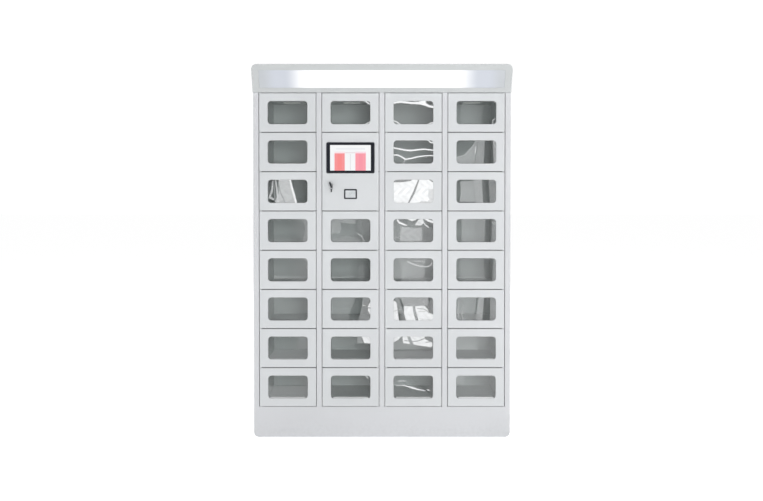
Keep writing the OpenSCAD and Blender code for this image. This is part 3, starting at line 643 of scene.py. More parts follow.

# What the film does on each window (column, row), as (milkiness and painted glint, points) painted in
# turn. High values are partly the film's real milkiness and partly painted highlights: white where
# the folds stand in for the lights' glints and reflections. Points are in percent of the window, across
# from its left and down from its top. With a third number they are a crease's line and its half width
# in millimetres, and without one they are the corners of a patch. A last number is the width of the
# soft edge in millimetres, where it isn't SOFT_EDGE.
WHOLE = [(-5, -5), (105, -5), (105, 105), (-5, 105)]
# A wide soft patch over a window's right part: partly film milkiness, partly painted light that lifts the
# shaded right side of the compartment behind it
RIGHT_HAZE_AND_PAINTED_LIGHT = [(70, -60), (160, -60), (160, 160), (76, 160)]
# Painted light: a pale strip along the bottom of the windows in rows 7 and 8, standing in for light falling
# on the turned-in sills
PAINTED_SILL_LIGHT = {7: [(7, 98.4, 2.2), (93, 98.4, 2.2)], 8: [(8, 96.6, 4.2), (92, 96.6, 4.2)]}
FILM = {
    (1, 1): [(0.05, [(0, 0), (45, 0), (32, 100), (0, 100)]), (0.09, RIGHT_HAZE_AND_PAINTED_LIGHT, 80)],
    (1, 2): [(0.05, [(40, 0), (100, 0), (100, 70), (62, 100)]), (0.09, RIGHT_HAZE_AND_PAINTED_LIGHT, 80)],
    (1, 3): [
        (0.55, [(26, -3), (58, -3), (72, 103), (16, 103), (28, 55)]),
        (0.98, [(56, -3, 3), (60, 28, 4), (66, 64, 4.6), (72, 103, 4)]),
        (0.5, [(13, 6, 2.4), (11, 45, 4.2), (5, 76, 5), (14, 84, 4)]),
        (0.62, [(20, 4, 2.2), (23, 40, 3.4), (26, 95, 3.4)]),
        (0.28, [(27, 0, 1.8), (30, 45, 1.6), (36, 70, 1.2), (44, 98, 1)]),
        (0.25, [(16, 20, 1.6), (17, 60, 1.8), (19, 92, 1.4)]),
        (0, [(3, 88, 2.4), (12, 93, 3), (19, 100, 2)])],
    (1, 4): [
        (0.05, WHOLE), (0.17, RIGHT_HAZE_AND_PAINTED_LIGHT, 80),
        (0.11, [(-3, 80), (80, 80), (80, 104), (-3, 104)], 5),
        (0.26, [(92, -3), (103, -3), (103, 103), (88, 103), (95, 50)]),
        (0.34, [(86, 4, 1.2), (94, 20, 1.4)]), (0.34, [(97, 60, 1.2), (89, 96, 1.4)])],
    (1, 5): [
        (0.08, WHOLE), (0.17, RIGHT_HAZE_AND_PAINTED_LIGHT, 80),
        (0.32, [(83, -3), (103, 20), (103, -3)]), (0.55, [(97, 34, 1.2), (98, 44, 1.2)]),
        (0.2, [(14, 76), (90, 76), (88, 88), (16, 88)], 4)],
    (1, 6): [(0.12, WHOLE), (0.02, [(0, 18, 1.4), (13, 34, 1.8), (28, 58, 1.8), (36, 100, 1.6)])],
    # In (1, 7) and (1, 8) the wide patch over the window's lower part is painted light that brightens the
    # shaded compartment floor, over the film's milkiness
    (1, 7): [
        (0.06, WHOLE), (0.19, RIGHT_HAZE_AND_PAINTED_LIGHT, 80),
        (0.16, [(-3, 58), (104, 56), (104, 104), (-3, 104)], 4),
        (0.5, PAINTED_SILL_LIGHT[7])],
    (1, 8): [
        (0.08, WHOLE), (0.15, RIGHT_HAZE_AND_PAINTED_LIGHT, 80),
        (0.2, [(-3, 45), (104, 45), (104, 104), (-3, 104)], 4), (0.1, [(10, 46, 1), (90, 45, 1.6)]),
        (0.56, PAINTED_SILL_LIGHT[8])],
    (2, 1): [
        (0.06, WHOLE), (0.95, [(85, -2, 1.4), (92, 7, 2.6), (100, 15, 1.6)]),
        (0.9, [(86, 102, 1.4), (94, 94, 2), (101, 88, 1.2)])],
    (2, 4): [
        (0.13, WHOLE), (0.23, [(-3, -3), (66, -3), (62, 24), (26, 17), (22, 60), (-3, 66)], 8),
        (0.1, [(26, 19), (62, 28), (72, 56), (60, 70), (28, 68)], 6),
        (0.16, [(68, -3), (104, -3), (104, 50), (86, 50), (64, 28)], 3),
        (0.2, [(-3, 84), (40, 76), (70, 84), (80, 104), (-3, 104)], 8),
        (0.08, [(0, 68, 2), (22, 71, 2.6)]),
        (0.04, [(25, 18, 1.4), (45, 23, 1.2), (63, 28, 1.6), (69, 4, 1.8)]),
        (0.46, [(68, 62, 1.2), (79, 76, 1.4), (85, 100, 1.2)])],
    (2, 5): [
        (0.05, WHOLE), (0.18, [(2, 84, 3), (35, 82, 4.2), (60, 80, 3)]),
        (0.1, [(70, 30), (84, 26), (86, 104), (70, 104)], 8), (0, [(86, 22, 2), (96, 34, 1.6)])],
    (2, 6): [
        (0.14, [(-3, -3), (66, -3), (46, 103), (-3, 103)]),
        (0.02, [(65, -3), (81, -3), (78, 40), (72, 78), (43, 78), (54, 40)]),
        (0.22, [(81, -3), (103, -3), (103, 103), (69, 103), (77, 50)]),
        (0.01, [(2, 26, 1.4), (18, 44, 1.8), (35, 49, 1.8), (52, 46, 1.4)]),
        (0.84, [(104, 16), (97, 26), (93, 42), (94, 58), (99, 72), (104, 78)]),
        (0.1, [(80, 42, 1.2), (99, 46, 1.8)]), (0.75, [(81, 34, 1.2), (87, 37, 1)])],
    (2, 7): [
        (0.08, WHOLE), (0.24, [(66, -3), (78, -3), (84, 28), (66, 30)], 7),
        (0.83, [(77, -4), (104, -4), (104, 30), (85, 29)]),
        (0, [(0, 43, 1.6), (60, 41, 2), (84, 35, 1.6)]),
        (0.42, PAINTED_SILL_LIGHT[7])],
    (2, 8): [
        (0.08, WHOLE), (0.95, [(88, -2, 1.4), (91, 6, 2), (95, 13, 1)]),
        (0.12, [(74, 16), (98, 16), (98, 40), (74, 36)], 5),
        (0.6, PAINTED_SILL_LIGHT[8])],
    (3, 1): [
        (0.12, WHOLE),
        (1, [(-3, 10, 3.4), (10, 5, 4.2), (19, 4, 4.2), (45, 9, 4.6), (65, 9, 6), (80, 15, 6.4),
                (90, 23, 5), (103, 27, 4)]),
        (1, [(64, 2), (80, -3), (82, 12), (66, 12)]),
        (1, [(-3, 83, 1.6), (8, 90, 2), (17, 103, 2.8)]),
        (1, [(86, 103, 2.6), (93, 95, 2), (103, 91, 1.6)])],
    (3, 2): [
        (0.1, WHOLE),
        (1, [(-3, 31, 2.6), (12, 36, 3), (30, 42, 3.4), (42, 44, 3.4), (75, 38, 3),
                (103, 43, 2.6)]),
        (1, [(-3, 63, 2.4), (9, 63, 2.6), (20, 70, 2.8), (30, 82, 3), (40, 79, 2.8), (60, 71, 2.6),
                (80, 66, 2.2), (103, 65, 2)]),
        (0.45, [(29, 84, 2), (24, 103, 2.4)]), (1, [(86, -3, 1.6), (92, 8, 2.4), (103, 13, 1.6)]),
        (0.8, [(30, -1, 1.4), (37, -1, 1.4)])],
    (3, 3): [
        (1, WHOLE), (0.76, [(88, 40), (104, 38), (104, 104), (62, 104), (70, 90), (86, 94)]),
        (1, [(80, 60, 4), (88, 84, 4)]),
        (0.3, [(0, 11), (2, 2), (20, -2), (50, -3), (44, 4), (30, 9), (14, 11)]),
        (0.36, [(64, -3, 2.4), (58, 25, 3.8), (52, 52, 4.8), (45, 76, 4.6), (37, 103, 2.6)]),
        (0.25, [(90, -1, 1.8), (98, 8, 2.2)])],
    (3, 4): [
        (0.2, WHOLE), (0.42, [(18, 34), (72, 34), (72, 96), (16, 96)], 14),
        (0.9, [(28, -4), (60, -4), (56, 4), (46, 9), (38, 3)]),
        (0.92, [(10, 4, 3), (14, 15, 4.4), (23, 21, 3.8), (33, 27, 2)]),
        (0.76, [(62, 3), (74, -2), (77, 14), (70, 28), (54, 27)]),
        (0.86, [(78, -3, 3.6), (87, 6, 4.8), (100, 14, 5)]),
        (0.84, [(77, 18, 2), (83, 28, 2.6), (88, 36, 1.4)]),
        (0.1, [(20, -2, 1.6), (30, 13, 2), (33, 2, 2)]), (0.08, [(82, 22, 2.4), (100, 37, 3.4)]),
        (0.4, [(0, 84, 2), (12, 76, 2), (24, 86, 2), (34, 98, 2)]),
        (0.14, [(30, 32, 1.2), (55, 36, 1.6), (76, 32, 1.2)]), (0.13, [(80, 60, 3), (82, 96, 2.4)])],
    (3, 5): [
        (0.2, WHOLE), (0.3, [(14, 8), (80, 6), (74, 84), (22, 88)], 22),
        (0.62, [(36, 14, 1.8), (50, 26, 3), (65, 34, 2.6), (82, 37, 2.6), (92, 32, 1.8),
                (97, 20, 1.6)]),
        (0.36, [(46, 8), (80, 8), (78, 20), (58, 18)], 5),
        (0.14, [(82, 42), (104, 38), (104, 104), (78, 104)], 14),
        (0.04, [(-4, 88), (18, 90), (20, 104), (-4, 104)])],
    (3, 6): [
        (0.34, [(16, -3), (88, -3), (88, 40), (26, 36)], 4),
        (0.86, [(-4, 12), (4, 16), (8, 24), (14, 104), (-4, 104)]),
        (0.88, [(26, 36), (40, 38), (78, 36), (86, 48), (90, 66), (104, 76), (104, 104), (26, 104)]),
        (0.24, [(8, 2, 9), (15, 35, 9), (21, 66, 9.4), (27, 103, 9)]),
        (0.34, [(51, 38, 5), (53, 60, 6.4), (56, 80, 6.8), (60, 103, 6.4)]),
        (0.24, [(92, 6), (104, 6), (104, 74), (92, 67), (88, 48)]),
        (0.5, [(60, 48, 1.4), (76, 50, 1.8), (86, 60, 2.4), (89, 68, 1.6)]),
        (0.55, [(64, 60, 1), (80, 62, 1.2)]),
        (0.6, [(0, 60, 1.6), (12, 54, 1.8)]), (0.66, [(66, 92, 1.2), (90, 96, 1.6)])],
    (3, 7): [
        (0.2, WHOLE), (0.82, [(-4, -4), (20, -4), (12, 15), (-4, 29)]),
        (0.86, [(23, -4), (80, -4), (78, 10), (98, 26), (98, 42), (92, 46), (55, 36), (23, 28)]),
        (0.3, [(37, -3, 6.6), (42, 16, 7), (47, 35, 7.4)]), (0.24, [(20, -3, 2.6), (23, 30, 2.6)]),
        (0.36, [(28, 17, 1.6), (45, 21, 1.6), (60, 20, 1.8), (76, 10, 2)]),
        (0.26, [(80, -3), (98, -3), (103, 20), (86, 16), (78, 9)]),
        (0.4, [(82, 25, 1.8), (92, 23, 2)]),
        (0.08, [(0, 59, 1.2), (96, 59, 1.4)]),
        (0.62, PAINTED_SILL_LIGHT[7])],
    (3, 8): [
        (0.13, WHOLE), (0.9, [(8, 43, 0.8), (24, 42, 1.2), (36, 47, 2), (48, 53, 4.2), (60, 59, 2.6),
                               (80, 66, 1.2)]),
        (0.95, [(84, 62, 1.4), (90, 64, 2)]), (0.6, [(12, 24, 1.2), (20, 23, 2.4), (31, 24, 1.4)]),
        (0, [(40, 6, 1.2), (54, 34, 1.4), (75, 50, 1.8), (95, 82, 1.6)]),
        (0.54, PAINTED_SILL_LIGHT[8])],
    (4, 1): [
        (0.1, [(12, 10), (70, 20), (60, 100), (10, 100)]), (0.5, [(92, 80, 1.4), (90, 101, 1.4)]),
        (0.5, [(92, 80, 1.2), (98, 77, 1)])],
    (4, 2): [
        (0.26, [(-3, 72), (18, 64), (34, 36), (50, 4), (58, -3), (72, -3), (70, 50), (68, 103),
                (-3, 103)]),
        (0.42, [(0, 73, 1), (19, 64, 1.2), (34, 36, 1.2), (50, 4, 1)]),
        (0.95, [(49, 28, 1), (48, 42, 2.2), (47, 54, 1.4)]),
        (0.08, [(51, 20, 1.2), (48, 70, 1.6), (46, 100, 1.2)]),
        (0.34, [(91, -3), (104, -3), (104, 103), (94, 103), (92, 40)])],
    (4, 3): [
        (0.3, [(9, 8), (44, 4), (47, 96), (8, 96)]), (0.34, [(44, -3), (64, -3), (68, 103), (48, 103)]),
        (0.24, [(80, -3), (104, -3), (104, 103), (84, 103)]),
        (0, [(7, 4, 1.6), (10, 50, 1.4), (6, 98, 1.6)]),
        (0.1, [(68, -3, 5), (70, 40, 5.6), (76, 103, 5)]), (0.1, [(84, 20, 1), (98, 10, 1)]),
        (0.12, [(84, 74, 1.6), (96, 70, 1)])],
    (4, 4): [
        (0.08, WHOLE), (0.23, [(13, -3), (72, -3), (72, 103), (13, 103)], 5),
        (0.24, [(91, -3), (104, -3), (104, 103), (88, 103)], 4), (0.4, [(88, 10, 1.2), (99, 20, 1.4)]),
        (0.16, [(50, 0, 0.9), (52, 98, 0.9)]), (0.17, [(14, 46, 0.8), (72, 48, 0.8)])],
    (4, 5): [
        (0.08, WHOLE), (0.17, [(8, 4), (70, 4), (72, 96), (8, 96)], 8),
        (0.3, [(8, 82, 2), (70, 82, 2)]),
        (0.22, [(94, -3), (104, -3), (104, 103), (90, 103)], 4)],
    (4, 6): [
        (0.2, [(2, 0), (50, 0), (48, 103), (0, 103)]),
        (0.42, [(8, 18, 1.2), (4, 50, 1.6), (6, 86, 1.4)]),
        (0.42, [(16, 45, 1.2), (13, 70, 1.6), (18, 98, 1.2)]),
        (0.3, [(56, -3), (70, -3), (66, 103), (48, 103)]),
        (0.04, [(56, -2, 0.9), (50, 45, 1), (44, 102, 0.9)]),
        (0.24, [(86, -3), (104, -3), (104, 103), (84, 103)]), (0.06, [(79, -3, 6), (76, 103, 6.4)])],
    (4, 7): [
        (0.17, WHOLE), (0.24, [(-3, -3), (48, -3), (56, 60), (-3, 60)], 6),
        (0.2, [(48, -3), (76, -3), (76, 40), (60, 50)], 5),
        (0.7, PAINTED_SILL_LIGHT[7])],
    (4, 8): [
        (0.19, WHOLE), (0.28, [(4, 2), (26, 2), (20, 26), (4, 38)], 6),
        (0.26, [(22, 8, 1.4), (14, 34, 1.8)]),
        (0.72, PAINTED_SILL_LIGHT[8])],
}


def smooth(values):
    t = np.clip(values, 0.0, 1.0)
    return t * t * (3 - 2 * t)


def to_segments(x, z, ends):
    """The distance from every point to each segment, and how far along it is the nearest."""
    for a, b in ends:
        dx, dz = b[0] - a[0], b[1] - a[1]
        t = np.clip(((x - a[0]) * dx + (z - a[1]) * dz) / (dx * dx + dz * dz), 0, 1)
        yield a, b, t, np.hypot(x - a[0] - t * dx, z - a[1] - t * dz)


def crease(x, z, line, soft):
    """1 along a line whose half width changes, falling to 0 over its soft edge."""
    cover = np.zeros_like(x)
    for a, b, t, away in to_segments(x, z, zip(line, line[1:])):
        cover = np.maximum(cover, smooth((a[2] + t * (b[2] - a[2]) - away) / soft + 0.75))
    return cover


def patch(x, z, corners, soft):
    """1 inside a polygon, falling to 0 over its soft edge."""
    ends = list(zip(corners, corners[1:] + corners[:1]))
    away = np.full_like(x, 1e9)
    within = np.zeros(x.shape, bool)
    for (ax, az), (bx, bz), t, d in to_segments(x, z, ends):
        away = np.minimum(away, d)
        if az != bz:
            within ^= ((az > z) != (bz > z)) & (x < (bx - ax) * (z - az) / (bz - az) + ax)
    return smooth(np.where(within, away, -away) / soft + 0.5)


def in_window(point):
    """A point in percent of the window, as millimetres from its centre."""
    return ((point[0] / 100 - 0.5) * WINDOW_W, (0.5 - point[1] / 100) * WINDOW_H, *point[2:])


def film_grid(step):
    """A grid over the window that follows its round corners, and the cells to keep."""
    half_w, half_h, r = WINDOW_W / 2 - FILM_EDGE, WINDOW_H / 2 - FILM_EDGE, WINDOW_R - FILM_EDGE
    across = np.linspace(-half_w, half_w, int(2 * half_w / step) + 2)
    up = np.linspace(-half_h, half_h, int(2 * half_h / step) + 2)
    x, z = np.meshgrid(across, up)
    over_x, over_z = np.abs(x) - (half_w - r), np.abs(z) - (half_h - r)
    reach = np.hypot(np.maximum(over_x, 0), np.maximum(over_z, 0))
    outside = reach > r
    pull = np.where(outside, r / np.maximum(reach, 1e-6), 1.0)
    corner_x, corner_z = np.sign(x) * (half_w - r), np.sign(z) * (half_h - r)
    x = np.where(outside, corner_x + (x - corner_x) * pull, x)
    z = np.where(outside, corner_z + (z - corner_z) * pull, z)
    inner = np.minimum(half_w - np.abs(x), half_h - np.abs(z))
    edge = np.where((over_x > 0) & (over_z > 0), r - np.minimum(reach, r), inner)
    rows, columns = x.shape
    faces = []
    for j in range(rows - 1):
        for i in range(columns - 1):
            if not outside[j:j + 2, i:i + 2].all():
                a = j * columns + i
                faces.append((a, a + 1, a + 1 + columns, a + columns))
    return x.ravel(), z.ravel(), edge.ravel(), faces


def film(c, r, cz, body):
    """The sheet of transport film across one window, at the door's face."""
    x, z, edge, faces = film_grid(FILM_COARSE if len(FILM.get((c, r), ())) < 2 else FILM_FINE)
    # The film's milkiness and its painted highlights, laid on entry by entry
    haze_and_glint = np.full_like(x, FILM_BASE)
    for amount, points, *soft in FILM.get((c, r), ()):
        cover = crease if len(points[0]) == 3 else patch
        haze_and_glint += (amount - haze_and_glint) * cover(x, z, [in_window(p) for p in points], *(soft or [SOFT_EDGE]))
    wave = 0.5 + 0.5 * np.sin(x * RIPPLE_X + RIPPLE_BEND * np.sin(z * RIPPLE_Z + c) + r)
    lies = smooth((edge - LIES_FROM) / LIES_OVER)
    y = FRONT_Y + FILM_FRONT + FILM_SINK * lies - FILM_RISE * haze_and_glint * wave * lies
    mesh = bpy.data.meshes.new(f"film_c{c}_r{r}")
    points = np.stack([x + column_x(c), y, z + cz], axis=1) * MM
    used = sorted({i for f in faces for i in f})
    renumber = {old: new for new, old in enumerate(used)}
    mesh.from_pydata([tuple(points[i]) for i in used], [], [tuple(renumber[i] for i in f) for f in faces])
    mesh.attributes.new("haze_and_glint", "FLOAT", "POINT").data.foreach_set("value", haze_and_glint[used])
    mesh.materials.append(film_sheet)
    mesh.polygons.foreach_set("use_smooth", [True] * len(mesh.polygons))
    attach(linked(mesh.name, mesh), body)


def lockers():
    """Every locker door: its leaf, its pane and the film on it."""
    leaf, pane = locker_shapes()
    for c, r in LOCKERS:
        body, node = f"locker_door_c{c}_r{r}", f"door_c{c}_r{r}"
        cz = row_z(r) + ROW / 2
        made = placed(leaf, c, cz).make(f"leaf_c{c}_r{r}", [door_paint, rubber, zinc], body)
        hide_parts(node)
        placed(pane, c, cz).make(f"pane_c{c}_r{r}", [clear_pane], body)
        film(c, r, cz, body)


lockers()


# ---- Control door and its fittings ----

# Millimetres: how far the screen's housing laps its opening, the scanner's opening, the lock's radius,
# and for each bezel its corner radius, rim width and how far its face is sunk
SCREEN_LAP = 8.0
SCAN_HOLE = (58, 43)
LOCK_HOLE_R = 8.2
SCREEN_BEZEL = (7.5, 4.3, 2.0)
SCAN_BEZEL = (5.0, 7.2, 2.4)
SCREEN_GROW = 0.8
LIT_W, LIT_H = 206.5, 129.5
SCAN_BODY, SCAN_PANE = (27, 19.5), (26.2, 18.7)
PANE_FRONT = 2.2


def control_door():
    """The tall leaf, with openings for the screen, the scanner and the lock."""
    cz = row_z(CONTROL_ROWS[1]) + ROW
    side = -hinge_side(CONTROL_COLUMN)

    def opening(box, w, h, r):
        at = middle(box)
        return (side * (at.x - column_x(CONTROL_COLUMN)), at.z - cz, w, h, r)

    screen_size = SCREEN[1] - SCREEN[0]
    holes = [opening(SCREEN, screen_size.x - 2 * SCREEN_LAP, screen_size.z - 2 * SCREEN_LAP, 1.0),
             opening(SCANNER, *SCAN_HOLE, 1.0),
             opening(LOCK, 2 * LOCK_HOLE_R, 2 * LOCK_HOLE_R, LOCK_HOLE_R)]
    leaf = leaf_shape(2 * ROW - ROW_GAP, holes)
    made = placed(leaf, CONTROL_COLUMN, cz).make("control_leaf", [door_paint], "control_panel_door")
    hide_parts("control_door")


def bezel(s, box, r, rim, depth):
    """A round-cornered frame in front of the door, with its face sunk inside a rim."""
    at, size, face = middle(box), box[1] - box[0], box[0].y
    steps = ((0.0, FRONT_Y - 0.1), (0.0, face + 1.6), (0.5, face + 0.6), (1.5, face), (rim - 0.6, face),
             (rim, face + 0.6), (rim, face + depth))
    s.solid([frame_ring(at.x, at.z, size.x - 2 * d, size.z - 2 * d, r - min(d, r - 0.6), y)
             for d, y in steps])


def touchscreen():
    """The housing, a little larger than the CAD's, and the glass with its lit picture."""
    housing = Shape()
    grow = Vector((SCREEN_GROW, 0, SCREEN_GROW))
    bezel(housing, (SCREEN[0] - grow, SCREEN[1] + grow), *SCREEN_BEZEL)
    inset = 10.0
    housing.block(SCREEN[0].x + inset, SCREEN[1].x - inset, FRONT_Y - 0.1, SCREEN[1].y,
                  SCREEN[0].z + inset, SCREEN[1].z - inset, 0.6)
    made = housing.make("screen_housing", [black], "control_panel_door")
    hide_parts("touchscreen_housing")

    at, size = middle(GLASS), GLASS[1] - GLASS[0]
    glass = Shape()
    face = GLASS[0].y
    rings = [frame_ring(at.x, at.z, size.x - 2 * d, size.z - 2 * d, 3.5 - d, y)
             for d, y in ((0.5, face), (0.15, face + 0.15), (0, face + 0.5), (0, GLASS[1].y))]
    picture = frame_ring(at.x, at.z, LIT_W, LIT_H, 0.8, face)
    glass.loft(rings)
    glass.cap(rings[-1])
    glass.cap(rings[0], [picture])
    glass.cap(picture, slot=1)
    made = glass.make("screen_glass", [glass_black, lit_display], "control_panel_door")
    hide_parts("touchscreen_glass")


def scanner():
    """The code scanner: a rim, its body, and the window with its marks."""
    s = Shape()
    bezel(s, SCANNER, *SCAN_BEZEL)
    at = middle(SCANNER)
    front = FRONT_Y - PANE_FRONT
    w, h = SCAN_BODY
    s.block(at.x - w, at.x + w, FRONT_Y - 0.1, SCANNER[1].y, at.z - h, at.z + h, 0.6)
    w, h = SCAN_PANE
    s.block(at.x - w, at.x + w, front, FRONT_Y - 0.8, at.z - h, at.z + h, 0.25, 1)
    # Two slanting ridges that show where a code is held
    for side in (-1, 1):
        ridge = Shape()
        ridge.block(-0.8, 0.8, -0.35, 0.1, -7, 7, 0.15, 2)
        lean = Matrix.Rotation(math.radians(side * 32), 4, "Y")
        s.join(ridge, Matrix.Translation((at.x + side * 4.0, front, at.z + 2)) @ lean)
    made = s.make("code_scanner", [black, scanner_glass, scan_mark], "control_panel_door")
    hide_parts("barcode_scanner")


# ---- Lock and keys ----

def lock_body():
    """The lock's barrel housing and the nut behind the door."""
    s = Shape()
    x, z = KEY_AT.x, KEY_AT.z
    bore = 5.05
    back = LOCK[1].y
    profile = [(bore, FRONT_Y + 0.3), (5.4, FRONT_Y - 1.6), (6.2, FRONT_Y - 2.0), (9.2, FRONT_Y - 2.0),
               (10.6, FRONT_Y - 1.4), (11.0, FRONT_Y - 0.6), (11.0, FRONT_Y - 0.1), (7.9, FRONT_Y - 0.1),
               (7.9, back - 0.6), (7.4, back), (bore, back)]
    s.loft([turned_ring(x, z, r, y, 40) for r, y in profile], wrap=True)
    nut = [(8.0, FRONT_Y + 1.5), (10.6, FRONT_Y + 1.5), (11.5, FRONT_Y + 2.2), (11.5, FRONT_Y + 5.3),
           (10.6, FRONT_Y + 6.0), (8.0, FRONT_Y + 6.0)]
    s.loft([turned_ring(x, z, r, y, 6) for r, y in nut], wrap=True)
    made = s.make("lock_barrel", [chrome], "control_panel_door")
    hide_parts("cam_lock_body")


def key_bow(s, half_t, box, radii, hole, slot):
    """A flat moulded grip seen edge-on from the front, with rounded edges and a hole."""
    y0, z0, y1, z1 = box
    hole_y, hole_z, hole_r = hole
    steps = ((-half_t, 1.1), (-half_t + 0.35, 0.4), (-half_t + 1.1, 0), (half_t - 1.1, 0),
             (half_t - 0.35, 0.4), (half_t, 1.1))
    rings = []
    for x, d in steps:
        flat = rounded(y0 + d, z0 + d, y1 - d, z1 - d, radii[0] - d, radii[1] - d)
        rings.append([Vector((x, y, z)) for y, z in flat])
    eyes = [[Vector((x, a, b)) for a, b in circle(hole_y, hole_z, r, 24)]
            for x, r in ((-half_t, hole_r + 0.5), (-half_t + 0.5, hole_r), (half_t - 0.5, hole_r),
                         (half_t, hole_r + 0.5))]
    s.loft(rings, slot)
    s.loft(eyes, slot)
    s.cap(rings[0], [eyes[0]], slot)
    s.cap(rings[-1], [eyes[-1]], slot)


KEY_LEAN = math.radians(20)


def key():
    """The turning barrel with its cam, and the key in it."""
    s = Shape()
    x, z = KEY_AT.x, KEY_AT.z
    cam_y = LOCK[1].y + 0.9
    s.lathe_y(x, z, [(4.5, FRONT_Y - 2.3), (5.0, FRONT_Y - 1.9), (5.0, cam_y + 3)], 0, 32)
    s.lathe_y(x, z, [(6.4, cam_y + 2.5), (7.0, cam_y + 3.0), (7.0, cam_y + 4.4), (6.4, cam_y + 5)], 0, 6)
    outline = [(-7, 8), (-7, -40.4), (-3.4, -44), (3.4, -44), (7, -40.4), (7, 8)]
    rings = [[Vector((x + a * k, y, z + b * k)) for a, b in outline]
             for k, y in ((0.98, cam_y), (1, cam_y + 0.3), (1, cam_y + 2.2), (0.98, cam_y + 2.5))]
    s.solid(rings, 0)
    grip = Shape()
    key_bow(grip, 3.5, (-31, -12, -6, 20), (5, 9), (-24, -7, 2.8), 1)
    grip.block(-1.2, 1.2, -7, -2.2, -4, 4, 0.3, 0)
    s.join(grip, Matrix.Translation((x, FRONT_Y, z)) @ Matrix.Rotation(-KEY_LEAN, 4, "Y"))
    made = s.make("key_and_cam", [chrome, black], "lock_cam_and_key")
    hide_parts("cam_lock_key")


def spare_key():
    """A second key hanging from the first on a wire ring."""
    ring_r, wire_r, drop = 7.0, 0.7, 6.2
    s = Shape()
    s.loft([[Vector((a, 0, b)) * (ring_r + out) + Vector((0, up, 0)) for out, up in circle(0, 0, wire_r, 10)]
            for a, b in circle(0, 0, 1, 40)], wrap=True)
    key_bow(s, 3.0, (-8, -20, 8, -3), (5, 5), (0, -ring_r, 2.2), 0)
    hung = Shape()
    hung.join(s, Matrix.Translation(SPARE_AT - Vector((0, 0, drop))))
    made = hung.make("spare_key_and_ring", [black], "spare_key_on_ring")
    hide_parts("spare_key")


# ---- Small fittings ----

def screws():
    """Pan-head screws with cross recesses along the back panel's two edges."""
    head_r, rows = 4.0, 7
    face = SCREWS[1].y
    back = face - 2.0
    s = Shape()
    arm, reach = 0.55, 2.0
    plus = [(arm, reach), (arm, arm), (reach, arm), (reach, -arm), (arm, -arm), (arm, -reach),
            (-arm, -reach), (-arm, -arm), (-reach, -arm), (-reach, arm), (-arm, arm), (-arm, reach)]
    for x in (SCREWS[0].x + head_r, SCREWS[1].x - head_r):
        for i in range(rows):
            z = SCREWS[0].z + head_r + i * (SCREWS[1].z - SCREWS[0].z - 2 * head_r) / (rows - 1)
            rings = [turned_ring(x, z, r, y, 24) for r, y in
                     ((2.0, SCREWS[0].y), (2.0, back + 0.05), (4.0, back + 0.05), (4.0, back + 0.7),
                      (3.6, back + 1.4), (2.9, face - 0.1), (2.3, face))]
            top, floor_ring = [[Vector((x + a, y, z + b)) for a, b in plus] for y in (face, face - 1.2)]
            s.loft(rings)
            s.cap(rings[0])
            s.cap(rings[-1], [top])
            s.loft([top, floor_ring])
            s.cap(floor_ring)
    made = s.make("cross_screws", [zinc], "cabinet")
    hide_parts("panel_screws")


COMPARTMENT_W = 240.0
OUTLET_W, OUTLET_H = 52, 32


def outlet_shape():
    """A double charging outlet facing -Y, with a tongue and contacts in each opening."""
    s = Shape()
    depth = 12.0
    openings = [frame_ring(x, 0, 12.8, 5.2, 0.5, -2, 2) for x in (-9, 9)]
    rings = [frame_ring(0, 0, OUTLET_W - 2 * d, OUTLET_H - 2 * d, 4 - d, y) for d, y in
             ((0.6, -2), (0.2, -1.8), (0, -1.4), (0, -0.1))]
    s.loft(rings)
    s.cap(rings[0], openings)
    s.cap(rings[-1])
    for x in (-9, 9):
        front, end = [frame_ring(x, 0, 12.8, 5.2, 0.5, y, 2) for y in (-2, depth)]
        s.loft([front, end])
        s.cap(end)
        s.block(x - 5.4, x + 5.4, 1, depth - 0.2, -0.4, 1.0, 0.15, 1)
        for k in range(4):
            at = x - 3.6 + 2.4 * k
            s.block(at - 0.5, at + 0.5, 1.2, 9, -0.6, -0.42, 0.05, 2)
    s.block(-19.5, 19.5, 12.3, 28, -10.5, 10.5, 0.5)
    return s


def outlets():
    """One outlet in every compartment, on the wall nearer to the kiosk's middle."""
    one, many = outlet_shape(), Shape()
    y = middle(OUTLETS).y
    low_row = OUTLETS[0].z + OUTLET_H / 2 - row_z(ROWS)
    for c, r in LOCKERS:
        side = 1 if c <= COLUMNS / 2 else -1
        turn = Matrix.Rotation(math.radians(-90 * side), 4, "Z")
        place = Matrix.Translation((column_x(c) + side * COMPARTMENT_W / 2, y, row_z(r) + low_row))
        many.join(one, place @ turn)
    made = many.make("usb_outlets", [white_plastic, black, contact_gold], "cabinet")
    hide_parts("charge_outlets")


def dress(node, material, bevel):
    """Gives a CAD node its look, and breaks its sharp edges."""
    obj = frame["nodes"][node]
    for s in obj.material_slots:
        s.material = material
    weld = obj.modifiers.new("weld", "WELD")
    weld.merge_threshold = MERGE * MM
    edges = obj.modifiers.new("broken_edges", "BEVEL")
    edges.width = bevel * MM
    edges.segments = 2
    edges.limit_method = "ANGLE"
    edges.angle_limit = math.radians(40)


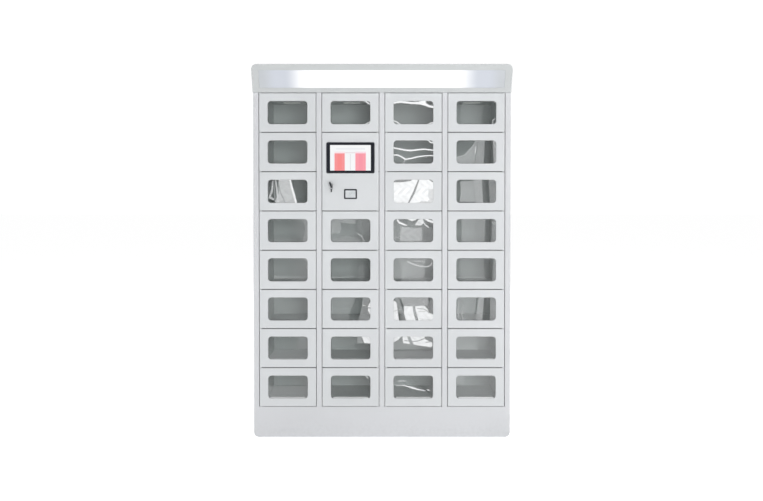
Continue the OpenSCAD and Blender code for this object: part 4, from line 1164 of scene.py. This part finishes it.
control_door()
touchscreen()
scanner()
lock_body()
key()
spare_key()
screws()
outlets()
for material, edge, nodes in (
        (frame_paint, 0.5, ("front_surround", "mullions", "top_panel", "base_tray")),
        (frame_paint, 0.3, ("side_panel_left", "side_panel_right", "back_panel")),
        (liner_paint, 0.3, ("compartment_liners", "shelf_boxes")),
        (zinc, 0.2, ("hinge_brackets",)), (zinc, 0.5, ("door_locks",)),
        (bar_light, 0.5, ("led_bars",)), (header_paint, 0.5, ("header_fascia",)),
        (opal, 0.5, ("header_light_panel",)), (tube_light, 0.5, ("header_led_tube",)),
        (foot_rubber, 0.5, ("levelling_feet",)), (controller_grey, 0.6, ("controller_box",)),
        (board_green, 0.2, ("lock_driver_boards",)), (psu_metal, 0.4, ("power_supplies",)),
        (black, 0.5, ("power_inlet",)), (black, 0.4, ("power_rocker",))):
    for name in nodes:
        dress(name, material, edge)


# ---- Light, floor and camera ----

FLOOR_GLOW, FLOOR_HALF = 0.76, 30


def floor():
    """A plain pale floor that renders white."""
    n = Nodes("pale_floor", (0.93, 0.93, 0.93), 0.8)
    n.paint((0.92, 0.92, 0.92), (0.94, 0.94, 0.94), n.noise(2.0))
    n.set("Emission Color", (1, 1, 1, 1))
    n.set("Emission Strength", FLOOR_GLOW)
    mesh = bpy.data.meshes.new("floor")
    corners = [(x * FLOOR_HALF, y * FLOOR_HALF, 0) for x, y in ((-1, -1), (1, -1), (1, 1), (-1, 1))]
    mesh.from_pydata(corners, [], [(0, 1, 2, 3)])
    mesh.materials.append(n.mat)
    linked("floor", mesh)


def world(seen, cast):
    """White to the camera, and softer as a light."""
    w = bpy.data.worlds.new("studio")
    bpy.context.scene.world = w
    w.use_nodes = True
    nt = w.node_tree
    back = nt.nodes["Background"]
    back.inputs["Color"].default_value = (1, 1, 1, 1)
    path = nt.nodes.new("ShaderNodeLightPath")
    strength = nt.nodes.new("ShaderNodeMapRange")
    strength.inputs["To Min"].default_value = cast
    strength.inputs["To Max"].default_value = seen
    nt.links.new(path.outputs["Is Camera Ray"], strength.inputs["Value"])
    nt.links.new(strength.outputs[0], back.inputs["Strength"])


def softbox(name, at, to, size, power, shines=True):
    """A studio light. One that doesn't shine lights surfaces without showing in glossy ones."""
    data = bpy.data.lights.new(name, "AREA")
    data.shape = "RECTANGLE"
    data.size, data.size_y = size
    data.energy = power
    obj = linked(name, data)
    obj.location = at
    obj.rotation_euler = (Vector(to) - Vector(at)).to_track_quat("-Z", "Y").to_euler()
    obj.visible_camera = False
    obj.visible_glossy = shines


# Metres, degrees below level, and parts of the sensor's width that frame the view
CAMERA_AT = (0, -4.165, 1.3)
CAMERA_DROP = 0.954
CAMERA_SHIFT = (-0.0006, -0.0697)


def camera():
    data = bpy.data.cameras.new("camera")
    data.sensor_width = 36.0
    data.lens = 37.114
    data.shift_x, data.shift_y = CAMERA_SHIFT
    obj = linked("camera", data)
    obj.location = CAMERA_AT
    obj.rotation_euler = (math.radians(90 - CAMERA_DROP), 0, 0)
    bpy.context.scene.camera = obj


floor()
world(seen=1.05, cast=0.25)
# Each light: where it is, what it faces and its size in metres, and its power in watts
softbox("front", (1.0, -6.4, 1.6), (0, 0, 0.95), (2.2, 2.2), 229, shines=False)
softbox("key", (-2.6, -3.6, 3.4), (0, 0, 1.0), (1.6, 1.6), 2)
softbox("fill", (3.2, -3.8, 2.2), (0, 0, 0.9), (1.6, 2.2), 34)
softbox("back", (0.5, 4.0, 3.4), (0, 0, 1.0), (3.0, 2.0), 90)
softbox("roof", (0, 0.9, 4.4), (0, 0.2, 1.9), (2.0, 1.0), 70, shines=False)
camera()
bpy.context.scene.view_settings.view_transform = "Standard"
